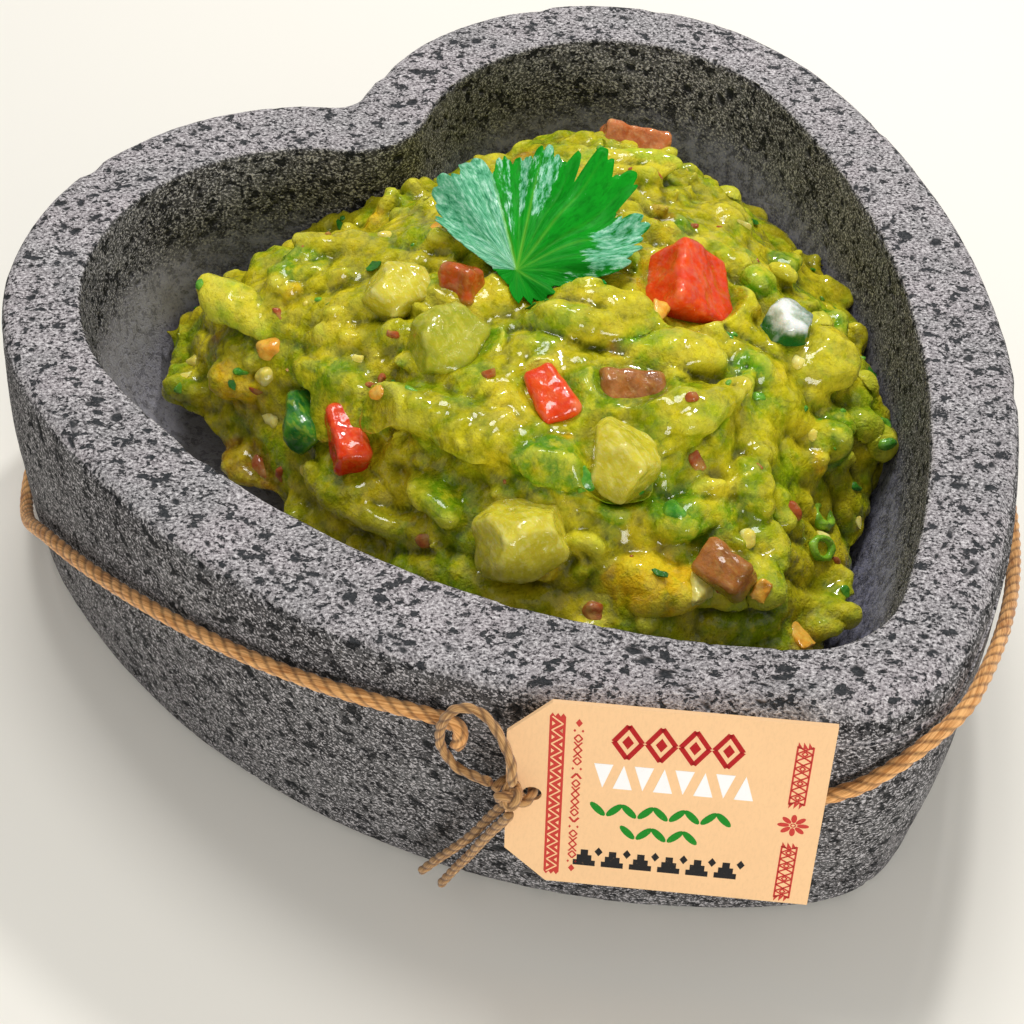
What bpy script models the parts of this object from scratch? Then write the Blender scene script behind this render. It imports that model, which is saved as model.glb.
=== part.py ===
"""Guacamole in a heart-shaped mortar bowl of volcanic stone.

The bowl is one thick-walled stone heart with a rounded hollow. Guacamole is heaped in it, with
diced tomato, chunks of avocado and one herb leaf on top. A twisted twine runs round the wall,
and a paper tag hangs on it from a looped string with two tails.

Units are metres and +Z is up. The origin is the centre of the bowl's underside: the notch of
the heart points to +Y and its tip to -Y.
"""
import math

import bmesh
import bpy
from mathutils import Matrix, Vector, noise

MM = 0.001
GAP = 0.3 * MM                 # clearance left between neighbouring pieces

# --- Bowl -----------------------------------------------------------------------------------
BOWL_HEIGHT = 66.2 * MM
LOBE_Y = 42.6 * MM             # centres of both lobes along the heart's axis
FLOOR_THICKNESS = 20.0 * MM    # stone under the hollow
BASE_ROUND = 4.0 * MM          # radius of the edge round the underside
RIM_ROUND = 3.2 * MM           # radius of the rim's outer edge
TIP_WEAR = 4.5 * MM            # how much rounder that edge is worn at the tip
LIP_ROUND = 1.2 * MM           # radius of the rim's inner edge
WALL_BULGE = 1.5 * MM          # swell of the wall half way up
HOLLOW_RUN = 19.0 * MM         # how far the hollow's wall runs in on its way to the floor

NOTCH_STEPS, LOBE_STEPS, SIDE_STEPS, TIP_STEPS = 3, 12, 9, 3

# --- Heap of guacamole ----------------------------------------------------------------------
HEAP_GRID = 5.2 * MM           # size of the heap's facets
HEAP_TOP = Vector((2.0, 16.0, 75.0)) * MM
HEAP_FALL_X = 11.0 * MM        # how much lower the heap is 50 mm to either side of its top
HEAP_FALL_Y = 11.0 * MM        # and 70 mm along the heart's axis
HEAP_SHOULDER = 30.0 * MM      # width of the slope between the heap's edge and its top
EDGE_HEIGHTS = (48, 42, 42, 54, 36, 20, 24, 42, 47, 40, 43, 51)   # mm, every 30 degrees from +X
EDGE_INSETS = (0, 0, 0, 0, 4, 12, 8, 0, 0, 3, 3, 0)               # mm from the wall, likewise
CHUNK_SIZE = 15.0 * MM
CHUNK_RELIEF = 4.2 * MM
LUMP_SIZE = 6.0 * MM
LUMP_RELIEF = 1.1 * MM

# --- Pieces on the heap: size and place in mm, then yaw, pitch and roll in degrees -----------
TOMATO_DICE = {
    "tomato_1": ((16.6, 15.6, 11.2), (25.0, -2.0, 66.6), (54, -9, 41)),
    "tomato_2": ((13.0, 8.0, 7.5), (-17.6, -13.8, 70.2), (80, -11, -12)),
    "tomato_3": ((14.0, 7.5, 7.0), (-49.0, 9.6, 55.4), (72, -9, 5)),
    "tomato_4": ((8.0, 7.0, 8.5), (-15.8, 20.0, 72.0), (50, -54, 63)),
    "tomato_5": ((16.0, 8.5, 9.0), (51.4, 50.5, 60.0), (-32, 8, 42)),
    "tomato_6": ((13.0, 9.0, 6.0), (-2.6, -20.0, 69.8), (-28, 4, 18)),
    "tomato_7": ((11.0, 8.5, 7.0), (-7.9, -57.6, 57.6), (-80, -6, 28)),
}
TOMATO_TAPER = 0.22            # how much narrower a die is at one end
TOMATO_EDGE = 0.9 * MM         # softening of its edges
AVOCADO_CHUNKS = {
    "avocado_1": ((22.0, 19.0, 14.0), (-35.0, -31.6, 58.2), (28, 16, -24)),
    "avocado_2": ((16.0, 13.0, 12.0), (-26.0, 26.8, 68.8), (-20, 10, 14)),
    "avocado_3": ((20.0, 17.0, 14.0), (-25.4, 9.4, 67.8), (12, -6, 12)),
    "avocado_4": ((20.0, 14.0, 13.0), (-13.0, -31.0, 66.6), (62, 10, 18)),
}
ONION = ((11.5, 11.0, 9.0), (38.6, -18.4, 65.0), (20, 12, 8))
GREEN_CHILLI = ((16.0, 9.5, 8.0), (-52.0, 21.6, 51.4), (64, -10, 20))
CUT_REACH = 0.80               # how far out a chunk's flat cuts lie, as a share of its half size
POCKET_GROWTH = 0.6 * MM       # how much larger a piece's place in the heap is than the piece
POCKET_TOP = 60.0 * MM         # how far up that place stays open

# --- Leaf: bearing from +X in degrees and distance in mm from where its lobes meet -----------
LEAF_JUNCTION = Vector((-5.6, 15.6, 74.6)) * MM
LEAF_OUTLINE = ((-144, 5.5), (-125, 7.0), (-106, 7.0), (-79, 8.5), (-58, 9.0), (-45, 15.5), (-36, 20.0),
                (-28, 23.0), (-19, 25.0), (-8, 29.0), (2, 25.0), (10, 35.5), (16, 33.5), (22, 36.0),
                (27, 28.5), (33, 35.5), (44, 34.5), (54, 33.0), (62, 31.0), (68, 29.0), (76, 33.0),
                (84, 29.0), (93, 28.5), (97, 27.5), (109, 22.0), (118, 14.5), (136, 7.0), (170, 5.5))
LEAF_POINTS = 64               # round the leaf's edge
LEAF_THICKNESS = 0.8 * MM
LEAF_RISE = 0.30               # slope of the leaf, which climbs towards LEAF_RISE_BEARING
LEAF_RISE_BEARING = math.radians(53.0)
LEAF_DROOP = 3.0               # curl of its edges, in metres per square metre
LEAF_CLEARANCE = 1.2 * MM      # from the heap under it

# --- Twine, tag and tie ---------------------------------------------------------------------
TWINE_DIAMETER = 3.0 * MM
TWINE_CLEARANCE = 0.45 * MM    # from the stone, so that the straight runs between points clear it
# share of the way round, clockwise from the tip, and the twine's height there in mm
TWINE_HEIGHTS = ((0.1262, 50.4), (0.1252, 54.2), (0.129, 56.6), (0.144, 55.8), (0.185, 51.4),
                 (0.221, 46.6), (0.251, 40.6), (0.279, 33.0), (0.294, 26.8), (0.309, 19.0),
                 (0.326, 12.8), (0.35, 9.8), (0.4, 9.0), (0.46, 10.5), (0.53, 13.0), (0.6, 16.5),
                 (0.7, 23.0), (0.79, 30.5), (0.86, 37.5), (0.905, 44.0), (0.94, 51.0),
                 (0.968, 56.4), (0.986, 58.2), (1.0, 57.6), (1.012, 53.5), (1.022, 49.2),
                 (1.035, 46.3), (1.06, 44.2), (1.082, 43.4))
TWINE_POINTS = 78

STRING_DIAMETER = 1.9 * MM
STRING_STEP = 2.6              # distance between points of a string, in diameters

TAG_WIDTH, TAG_HEIGHT, TAG_THICKNESS = 54.4 * MM, 45.0 * MM, 0.8 * MM
TAG_CORNER = (7.5 * MM, 7.9 * MM)      # cut-off corners beside the hole
TAG_HOLE_RADIUS = 1.7 * MM
TAG_HOLE_INSET = 4.6 * MM
TAG_HOLE_STEPS = 14
TAG_CENTRE = Vector((-43.2, -87.2, 48.2)) * MM
TAG_HEADING, TAG_TILT, TAG_ROLL = math.radians(-40.5), math.radians(10.0), math.radians(2.6)

KNOT_CENTRE = Vector((-65.5, -73.0, 50.8)) * MM
KNOT_SIZE = (6.0, 5.0, 5.2)            # mm
LOOP_ROUTE = ((-66.9, -69.0, 50.8), (-67.5, -66.8, 49.5), (-68.1, -64.5, 48.5), (-69.1, -62.2, 48.2),
              (-69.9, -60.4, 49.7), (-70.7, -59.1, 52.7), (-70.9, -59.1, 56.9), (-70.6, -59.8, 61.1),
              (-69.5, -60.8, 64.2), (-68.0, -62.4, 65.8), (-66.7, -64.3, 66.0), (-65.9, -66.6, 65.4),
              (-65.6, -69.0, 64.1), (-65.5, -71.2, 62.2), (-65.4, -72.6, 59.8), (-65.5, -73.2, 57.1),
              (-65.6, -73.3, 55.0))
TAIL_ROUTES = (((-65.3, -71.9, 46.8), (-65.6, -70.2, 42.7), (-66.2, -68.0, 36.9), (-67.4, -65.5, 29.3),
                (-69.1, -62.6, 22.0), (-70.7, -59.5, 15.0), (-72.4, -56.0, 6.6)),
               ((-66.2, -74.2, 46.9), (-66.3, -73.0, 43.4), (-66.9, -70.9, 38.0), (-67.8, -68.7, 31.4),
                (-68.4, -66.0, 23.4), (-69.3, -62.9, 14.8), (-70.2, -59.6, 5.0)))
# distance along the card from the hole, and in front of the card, in mm
RING_ROUTE = ((-2.6, 3.0), (-0.9, 2.4), (0.0, 0.6), (0.0, -0.8), (-1.0, -2.2), (-3.0, -2.6),
              (-5.4, -1.9), (-6.5, 0.2))


# --- Scene and materials --------------------------------------------------------------------
def clear_scene():
    for obj in list(bpy.data.objects):
        bpy.data.objects.remove(obj, do_unlink=True)


def make_material(name, colour, roughness):
    """Plain finish of one kind of piece."""
    material = bpy.data.materials.new(name)
    material.use_nodes = True
    shader = material.node_tree.nodes["Principled BSDF"]
    shader.inputs["Base Color"].default_value = (*colour, 1.0)
    shader.inputs["Roughness"].default_value = roughness
    shader.inputs["Metallic"].default_value = 0.0
    return material


def make_materials():
    return {
        "stone": make_material("volcanic stone", (0.16, 0.15, 0.16), 0.9),
        "guacamole": make_material("guacamole", (0.42, 0.42, 0.06), 0.35),
        "avocado": make_material("avocado flesh", (0.62, 0.60, 0.16), 0.35),
        "tomato": make_material("tomato", (0.62, 0.05, 0.02), 0.2),
        "leaf": make_material("herb leaf", (0.03, 0.32, 0.06), 0.4),
        "onion": make_material("onion", (0.72, 0.78, 0.62), 0.25),
        "chilli": make_material("green chilli", (0.16, 0.36, 0.04), 0.25),
        "twine": make_material("twine", (0.68, 0.36, 0.15), 0.9),
        "string": make_material("string", (0.62, 0.33, 0.10), 0.9),
        "paper": make_material("kraft paper", (0.90, 0.55, 0.28), 0.8),
    }


def add_object(name, mesh, material, smooth=True):
    """Object for one piece, lit as a rounded surface with crisp edges."""
    mesh.materials.append(material)
    if smooth:
        mesh.shade_smooth()
        mesh.set_sharp_from_angle(angle=math.radians(35))
    obj = bpy.data.objects.new(name, mesh)
    bpy.context.scene.collection.objects.link(obj)
    return obj


def mesh_from(bm, name):
    """Mesh of a finished bmesh, with its faces pointing out."""
    bmesh.ops.recalc_face_normals(bm, faces=bm.faces[:])
    if bm.calc_volume(signed=True) < 0.0:
        bmesh.ops.reverse_faces(bm, faces=bm.faces[:])
    mesh = bpy.data.meshes.new(name)
    bm.to_mesh(mesh)
    bm.free()
    return mesh


def add_cutter(name, mesh):
    """Guide shape for a Boolean, left out of the object itself."""
    cutter = bpy.data.objects.new(name, mesh)
    cutter.hide_render = True
    cutter.display_type = "WIRE"
    bpy.context.scene.collection.objects.link(cutter)
    return cutter


def add_boolean(obj, cutter, operation):
    modifier = obj.modifiers.new(cutter.name, "BOOLEAN")
    modifier.operation = operation
    modifier.solver = "EXACT"
    modifier.object = cutter


# --- The heart's outline --------------------------------------------------------------------
def smooth_step(value):
    value = min(max(value, 0.0), 1.0)
    return value * value * (3.0 - 2.0 * value)


class Heart:
    """Heart of tangent arcs, symmetric about the Y axis: notch, lobe, side and tip."""

    def __init__(self, spread, lobe, side, tip, tip_drop, notch):
        self.radii = {"notch": notch, "lobe": lobe, "side": side, "tip": tip}
        self.lobe = Vector((spread, LOBE_Y))
        self.tip = Vector((0.0, LOBE_Y - tip_drop))
        self.notch = Vector((0.0, LOBE_Y + math.sqrt((lobe + notch) ** 2 - spread ** 2)))
        self.side = self.side_centre()

    def side_centre(self):
        """Centre of the side's arc, which touches the lobe and the tip from outside."""
        to_lobe = self.radii["side"] - self.radii["lobe"]
        to_tip = self.radii["side"] - self.radii["tip"]
        line = self.tip - self.lobe
        along = (to_lobe ** 2 - to_tip ** 2 + line.length ** 2) / (2.0 * line.length)
        across = math.sqrt(to_lobe ** 2 - along ** 2)
        direction = line.normalized()
        left = Vector((direction.y, -direction.x))
        return self.lobe + direction * along + left * across

    def half(self):
        """Points and outward normals of the right half, from the notch down to the tip."""
        lobe_start = bearing(self.notch - self.lobe)
        lobe_end = bearing(self.lobe - self.side)
        side_end = bearing(self.tip - self.side)
        notch_end = bearing(self.lobe - self.notch)
        arcs = ((self.notch, -self.radii["notch"], -math.pi / 2.0, notch_end, NOTCH_STEPS),
                (self.lobe, self.radii["lobe"], lobe_start, lobe_end, LOBE_STEPS),
                (self.side, self.radii["side"], lobe_end, side_end, SIDE_STEPS),
                (self.tip, self.radii["tip"], side_end, -math.pi / 2.0, TIP_STEPS))
        stations = []
        for centre, radius, start, end, steps in arcs:
            for step in range(steps):
                stations.append(arc_station(centre, radius, start + (end - start) * step / steps))
        stations.append(arc_station(self.tip, self.radii["tip"], -math.pi / 2.0))
        return stations

    def stations(self):
        """Points and outward normals all the way round, clockwise from the notch."""
        right = self.half()
        left = [(Vector((-p.x, p.y)), Vector((-n.x, n.y))) for p, n in right[1:-1]]
        return right + left[::-1]

    def ring(self, inset, height):
        """Level ring; inset and height may be numbers or functions of the outline's point."""
        points = []
        for point, normal in self.stations():
            in_by = inset(point) if callable(inset) else inset
            z = height(point) if callable(height) else height
            points.append(Vector((*(point - normal * in_by), z)))
        return points


def bearing(vector):
    return math.atan2(vector.y, vector.x)


def arc_station(centre, radius, angle):
    """Point on an arc and its outward normal; a hollow arc has a negative radius."""
    direction = Vector((math.cos(angle), math.sin(angle)))
    point = centre + direction * abs(radius)
    return point, direction if radius > 0.0 else -direction


OUTER = Heart(39.2 * MM, 60.8 * MM, 158.0 * MM, 26.4 * MM, 119.6 * MM, 6.1 * MM)
INNER = Heart(40.0 * MM, 44.0 * MM, 164.2 * MM, 20.8 * MM, 108.3 * MM, 17.8 * MM)


# --- Bowl -----------------------------------------------------------------------------------
def rim_radius(point):
    """Radius of the rim's outer edge, worn rounder towards the tip."""
    return RIM_ROUND + TIP_WEAR * smooth_step((-50.0 * MM - point.y) / (45.0 * MM))


def wall_swell(height):
    """How far the outer wall stands out from the rim's outline at a height."""
    share = (height - BASE_ROUND) / (BOWL_HEIGHT - BASE_ROUND - RIM_ROUND)
    share = min(max(share, 0.0), 1.0)
    return WALL_BULGE * 4.0 * share * (1.0 - share)


def hollow_profile(steps=7):
    """Inset and height down the hollow's wall, an ellipse from under the lip to the floor."""
    top = BOWL_HEIGHT - LIP_ROUND
    depth = top - FLOOR_THICKNESS
    angles = [math.pi / 2.0 * step / steps for step in range(1, steps + 1)]
    return [(HOLLOW_RUN * (1.0 - math.cos(a)), top - depth * math.sin(a)) for a in angles]


def loft(name, rings):
    """Closed solid through rings of equal length, capped flat at both ends."""
    bm = bmesh.new()
    loops = [[bm.verts.new(point) for point in ring] for ring in rings]
    for low, high in zip(loops, loops[1:]):
        for i in range(len(low)):
            j = (i + 1) % len(low)
            bm.faces.new((low[i], low[j], high[j], high[i]))
    bm.faces.new(loops[0])
    bm.faces.new(loops[-1])
    return mesh_from(bm, name)


def make_bowl(material):
    rings = []
    for angle in (0.0, 30.0, 60.0, 90.0):
        turn = math.radians(angle)
        rings.append(OUTER.ring(BASE_ROUND * (1.0 - math.sin(turn)), BASE_ROUND * (1.0 - math.cos(turn))))
    wall_top = BOWL_HEIGHT - RIM_ROUND - TIP_WEAR
    for share in (0.25, 0.5, 0.75):
        height = BASE_ROUND + (wall_top - BASE_ROUND) * share
        rings.append(OUTER.ring(-wall_swell(height), height))
    for angle in (0.0, 22.5, 45.0, 67.5, 90.0):
        turn = math.radians(angle)
        rings.append(OUTER.ring(lambda p, t=turn: rim_radius(p) * (1.0 - math.cos(t)),
                                lambda p, t=turn: BOWL_HEIGHT - rim_radius(p) * (1.0 - math.sin(t))))
    for angle in (0.0, 45.0, 90.0):
        turn = math.radians(angle)
        rings.append(INNER.ring(-LIP_ROUND * (1.0 - math.sin(turn)),
                                BOWL_HEIGHT - LIP_ROUND * (1.0 - math.cos(turn))))
    for inset, height in hollow_profile():
        rings.append(INNER.ring(inset, height))
    return add_object("bowl", loft("bowl", rings), material)


# --- Heap -----------------------------------------------------------------------------------
def depth_inside(x, y):
    """Distance from a point to the hollow's outline at the lip, zero outside it."""
    point = Vector((x, y))
    if not inside_heart(point):
        return 0.0
    outline = [station for station, _ in HOLLOW_STATIONS]
    return min(segment_distance(point, a, b) for a, b in zip(outline, outline[1:] + outline[:1]))


def segment_distance(point, start, end):
    line = end - start
    share = min(max((point - start).dot(line) / line.length_squared, 0.0), 1.0)
    return (point - start - line * share).length


def inside_heart(point):
    """Whether a point lies inside the hollow's outline, by counting crossings."""
    inside = False
    outline = [station for station, _ in HOLLOW_STATIONS]
    for a, b in zip(outline, outline[1:] + outline[:1]):
        if (a.y > point.y) != (b.y > point.y):
            if point.x < a.x + (b.x - a.x) * (point.y - a.y) / (b.y - a.y):
                inside = not inside
    return inside


HOLLOW_STATIONS = INNER.stations()


def by_direction(values, x, y):
    """Value in mm read from a list of 12 that goes round the middle, anticlockwise from +X."""
    turn = math.degrees(math.atan2(y, x)) % 360.0 / 30.0
    low = int(turn)
    share = smooth_step(turn - low)
    return (values[low % 12] * (1.0 - share) + values[(low + 1) % 12] * share) * MM


def heap_form(x, y):
    """Height of the heap without its chunks."""
    crown = HEAP_TOP.z - HEAP_FALL_X * ((x - HEAP_TOP.x) / (50.0 * MM)) ** 2
    crown -= HEAP_FALL_Y * ((y - HEAP_TOP.y) / (70.0 * MM)) ** 2
    edge = by_direction(EDGE_HEIGHTS, x, y)
    share = (depth_inside(x, y) - by_direction(EDGE_INSETS, x, y)) / HEAP_SHOULDER
    share = min(max(share, 0.0), 1.0)
    return edge + (crown - edge) * math.sin(share * math.pi / 2.0)


def chunk_relief(x, y):
    """Rounded chunks with creases between them, and smaller lumps on them."""
    distances, _ = noise.voronoi(Vector((x, y, 0.0)) / CHUNK_SIZE)
    dome = min((distances[1] - distances[0]) * 1.5, 1.0)
    lumps = noise.noise(Vector((x, y, 0.02)) / LUMP_SIZE)
    return CHUNK_RELIEF * (math.sqrt(dome) - 0.75) + LUMP_RELIEF * lumps


def heap_height(x, y):
    height = heap_form(x, y) + chunk_relief(x, y)
    under_leaf = leaf_height(x, y)
    return height if under_leaf is None else min(height, under_leaf - LEAF_CLEARANCE)


def make_heap(material):
    """The heap: a plug that fits the hollow, cut off by the heap's uneven top."""
    plug = [INNER.ring(inset + GAP, height + GAP) for inset, height in hollow_profile()[::-1]]
    plug.append(INNER.ring(GAP, BOWL_HEIGHT))
    plug.append(INNER.ring(GAP, BOWL_HEIGHT + 30.0 * MM))
    heap = add_object("guacamole", loft("guacamole", plug), material)
    width, length = 176.0 * MM, 180.0 * MM
    bm = bmesh.new()
    bmesh.ops.create_grid(bm, x_segments=round(width / HEAP_GRID), y_segments=round(length / HEAP_GRID),
                          size=0.5, matrix=Matrix.Diagonal((width, length, 1.0, 1.0)))
    for vert in bm.verts:
        vert.co.z = heap_height(vert.co.x, vert.co.y)
    skirt = bmesh.ops.extrude_face_region(bm, geom=bm.faces[:])
    for element in skirt["geom"]:
        if isinstance(element, bmesh.types.BMVert):
            element.co.z = 5.0 * MM
    add_boolean(heap, add_cutter("heap_top", mesh_from(bm, "heap_top")), "INTERSECT")
    return heap


# --- Pieces lying on the heap ---------------------------------------------------------------
def piece_matrix(place, turns):
    """Place in mm, then yaw, pitch and roll in degrees."""
    yaw, pitch, roll = (math.radians(turn) for turn in turns)
    turn = Matrix.Rotation(yaw, 4, "Z") @ Matrix.Rotation(pitch, 4, "Y") @ Matrix.Rotation(roll, 4, "X")
    return Matrix.Translation(Vector(place) * MM) @ turn


def make_die(name, size, place, turns, material, heap):
    """Cut die of vegetable: a box that narrows to one end, with its edges softened."""
    bm = bmesh.new()
    bmesh.ops.create_cube(bm, size=MM, matrix=Matrix.Diagonal((*size, 1.0)))
    for vert in bm.verts:
        if vert.co.x > 0.0:
            vert.co.y *= 1.0 - TOMATO_TAPER
            vert.co.z *= 1.0 - TOMATO_TAPER * 0.6
    bmesh.ops.bevel(bm, geom=bm.edges[:], offset=TOMATO_EDGE, segments=1, profile=0.5, affect="EDGES")
    bm.transform(piece_matrix(place, turns))
    set_in_heap(add_object(name, mesh_from(bm, name), material), heap)


def make_chunk(name, size, place, turns, material, heap):
    """Hand-cut chunk: an ellipsoid with flat cuts all round it, above and below."""
    bm = bmesh.new()
    bmesh.ops.create_icosphere(bm, subdivisions=2, radius=0.56 * MM, matrix=Matrix.Diagonal((*size, 1.0)))
    cuts = [(math.cos(math.radians(turn)), math.sin(math.radians(turn)), lean)
            for turn, lean in ((8, 0.2), (84, -0.2), (150, 0.3), (222, -0.1), (291, 0.2))]
    for direction in cuts + [(0.15, -0.1, 1.0), (0.0, 0.0, -1.0)]:
        normal = Vector(direction).normalized()
        half = math.sqrt(sum((n * s) ** 2 for n, s in zip(normal, size))) * MM / 2.0
        bmesh.ops.bisect_plane(bm, geom=bm.verts[:] + bm.edges[:] + bm.faces[:], dist=1e-6,
                               plane_co=normal * half * CUT_REACH, plane_no=normal, clear_outer=True)
        bmesh.ops.holes_fill(bm, edges=[edge for edge in bm.edges if edge.is_boundary], sides=0)
    bmesh.ops.remove_doubles(bm, verts=bm.verts[:], dist=0.5 * MM)
    bm.transform(piece_matrix(place, turns))
    set_in_heap(add_object(name, mesh_from(bm, name), material), heap)


def pocket_mesh(obj):
    """Space that a piece takes up in the heap, a little larger than it and open upwards."""
    pocket = bmesh.new()
    centre = sum((vert.co for vert in obj.data.vertices), Vector()) / len(obj.data.vertices)
    for vert in obj.data.vertices:
        corner = vert.co + (vert.co - centre).normalized() * POCKET_GROWTH
        pocket.verts.new(corner)
        pocket.verts.new(corner + Vector((0.0, 0.0, POCKET_TOP)))
    hull = bmesh.ops.convex_hull(pocket, input=pocket.verts[:])
    loose = {item for item in hull["geom_interior"] + hull["geom_unused"]
             if isinstance(item, bmesh.types.BMVert)}
    bmesh.ops.delete(pocket, geom=list(loose), context="VERTS")
    return mesh_from(pocket, f"{obj.name}_pocket")


def set_in_heap(obj, heap):
    """Cut the heap away round a piece that sits in it."""
    add_boolean(heap, add_cutter(f"{obj.name}_pocket", pocket_mesh(obj)), "DIFFERENCE")


# --- Leaf -----------------------------------------------------------------------------------
def leaf_lift(offset):
    """Height of the leaf's top above its junction, at a level offset from the junction."""
    climb = LEAF_RISE * offset.length * math.cos(bearing(offset) - LEAF_RISE_BEARING)
    return climb - LEAF_DROOP * offset.length_squared


def leaf_reach(angle):
    """How far the leaf reaches from its junction at a bearing in degrees."""
    rows = LEAF_OUTLINE + ((LEAF_OUTLINE[0][0] + 360, LEAF_OUTLINE[0][1]),)
    for (low, near), (high, far) in zip(rows, rows[1:]):
        share = ((angle - low) % 360.0) / (high - low)
        if share <= 1.0:
            return (near + (far - near) * share) * MM
    return 0.0


def leaf_height(x, y):
    """Height of the leaf's underside over a point, or None where there is no leaf."""
    offset = Vector((x, y)) - LEAF_JUNCTION.xy
    reach = leaf_reach(math.degrees(bearing(offset))) if offset.length > 0.0 else 1.0
    if offset.length > reach + HEAP_GRID:
        return None
    return LEAF_JUNCTION.z + leaf_lift(offset) - LEAF_THICKNESS if offset.length > 0.0 else LEAF_JUNCTION.z


def make_leaf(material):
    """Thin leaf: a fan of facets from its junction out to its lobed edge."""
    edge = [Vector((math.cos(math.radians(a)), math.sin(math.radians(a)), 0.0)) * reach * MM
            for a, reach in LEAF_OUTLINE]
    edge = smooth_through(edge, LEAF_POINTS, closed=True)
    bm = bmesh.new()
    centre = bm.verts.new((0.0, 0.0, 0.0))
    inner = [bm.verts.new(point * 0.5) for point in edge]
    outer = [bm.verts.new(point) for point in edge]
    for i in range(LEAF_POINTS):
        j = (i + 1) % LEAF_POINTS
        bm.faces.new((centre, inner[i], inner[j]))
        bm.faces.new((inner[i], outer[i], outer[j], inner[j]))
    for vert in bm.verts:
        vert.co.z = leaf_lift(vert.co.xy)
    under = bmesh.ops.extrude_face_region(bm, geom=bm.faces[:])
    moved = [item for item in under["geom"] if isinstance(item, bmesh.types.BMVert)]
    bmesh.ops.translate(bm, verts=moved, vec=(0.0, 0.0, -LEAF_THICKNESS))
    bmesh.ops.translate(bm, verts=bm.verts[:], vec=LEAF_JUNCTION)
    add_object("leaf", mesh_from(bm, "leaf"), material)


# --- Twine and strings ----------------------------------------------------------------------
def smooth_through(points, count, closed=False):
    """Evenly spaced points on the smooth curve through a route's own points."""
    steps = 12
    total = len(points)
    dense = []
    for i in range(total if closed else total - 1):
        if closed:
            a, b, c, d = (points[(i + k) % total] for k in (-1, 0, 1, 2))
        else:
            a, b, c, d = (points[min(max(i + k, 0), total - 1)] for k in (-1, 0, 1, 2))
        for step in range(steps):
            t = step / steps
            dense.append(0.5 * (2.0 * b + (c - a) * t + (2.0 * a - 5.0 * b + 4.0 * c - d) * t * t
                                + (3.0 * b - a - 3.0 * c + d) * t ** 3))
    dense.append(points[0] if closed else points[-1])
    return evenly(dense, count + 1)[:-1] if closed else evenly(dense, count)


def evenly(points, count):
    """Points at equal distances along a chain of straight runs, both ends kept."""
    lengths = [(b - a).length for a, b in zip(points, points[1:])]
    spacing = sum(lengths) / (count - 1)
    result = [points[0]]
    travelled = 0.0
    for (a, b), length in zip(zip(points, points[1:]), lengths):
        while len(result) < count - 1 and travelled + length >= spacing * len(result):
            share = (spacing * len(result) - travelled) / length
            result.append(a + (b - a) * share)
        travelled += length
    return result + [points[-1]]


def route_length(points):
    return sum((b - a).length for a, b in zip(points, points[1:]))


def make_cord(name, points, diameter, material):
    """Round cord through the points, closed at both ends."""
    curve = bpy.data.curves.new(name, "CURVE")
    curve.dimensions = "3D"
    curve.bevel_depth = diameter / 2.0
    curve.bevel_resolution = 2
    curve.use_fill_caps = True
    spline = curve.splines.new("POLY")
    spline.points.add(len(points) - 1)
    for spline_point, point in zip(spline.points, points):
        spline_point.co = (*point, 1.0)
    spline.use_smooth = True
    curve.materials.append(material)
    obj = bpy.data.objects.new(name, curve)
    bpy.context.scene.collection.objects.link(obj)


def string_points(route):
    route = [Vector(point) * MM for point in route]
    count = max(round(route_length(route) / (STRING_DIAMETER * STRING_STEP)) + 1, 6)
    return smooth_through(route, count)


def belt():
    """Stations of the taut way round the outer wall: clockwise from the tip, across the notch."""
    right = []
    for centre, radius, start, end in (
            (OUTER.lobe, OUTER.radii["lobe"], math.pi / 2.0, bearing(OUTER.lobe - OUTER.side)),
            (OUTER.side, OUTER.radii["side"], bearing(OUTER.lobe - OUTER.side),
             bearing(OUTER.tip - OUTER.side)),
            (OUTER.tip, OUTER.radii["tip"], bearing(OUTER.tip - OUTER.side), -math.pi / 2.0)):
        right += [arc_station(centre, radius, start + (end - start) * step / 40.0) for step in range(40)]
    right.append(arc_station(OUTER.tip, OUTER.radii["tip"], -math.pi / 2.0))
    left = [(Vector((-point.x, point.y)), Vector((-normal.x, normal.y))) for point, normal in right]
    return left[::-1] + right


def belt_point(share, height, stations):
    """Centre of the twine at a share of the way round the wall and a height."""
    offset = WALL_BULGE + TWINE_CLEARANCE + TWINE_DIAMETER / 2.0
    ring = [point + normal * offset for point, normal in stations]
    lengths = [(b - a).length for a, b in zip(ring, ring[1:])]
    wanted = (share % 1.0) * sum(lengths)
    for i, length in enumerate(lengths):
        if wanted <= length:
            point = ring[i].lerp(ring[i + 1], wanted / length)
            normal = stations[i][1].lerp(stations[i + 1][1], wanted / length).normalized()
            return Vector((*(point - normal * (WALL_BULGE - wall_swell(height))), height))
        wanted -= length
    return Vector((*ring[-1], height))


def make_twine(material):
    """Twine round the wall: its route is smoothed on the unrolled wall, then wrapped round it."""
    stations = belt()
    way_round = route_length([point for point, _ in stations])
    route = [Vector((share * way_round, height * MM, 0.0)) for share, height in TWINE_HEIGHTS]
    unrolled = smooth_through(route, TWINE_POINTS)
    make_cord("twine", [belt_point(p.x / way_round, p.y, stations) for p in unrolled], TWINE_DIAMETER,
              material)


# --- Tag and its tie ------------------------------------------------------------------------
def tag_matrix():
    """Frame of the card: X along it, Y up it, Z out of its front."""
    upright = Matrix.Rotation(math.pi / 2.0 - TAG_TILT, 4, "X")
    turn = Matrix.Rotation(TAG_HEADING, 4, "Z") @ upright @ Matrix.Rotation(TAG_ROLL, 4, "Z")
    return Matrix.Translation(TAG_CENTRE) @ turn


def tag_hole():
    return Vector((TAG_HOLE_INSET - TAG_WIDTH / 2.0, 0.0, 0.0))


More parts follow.
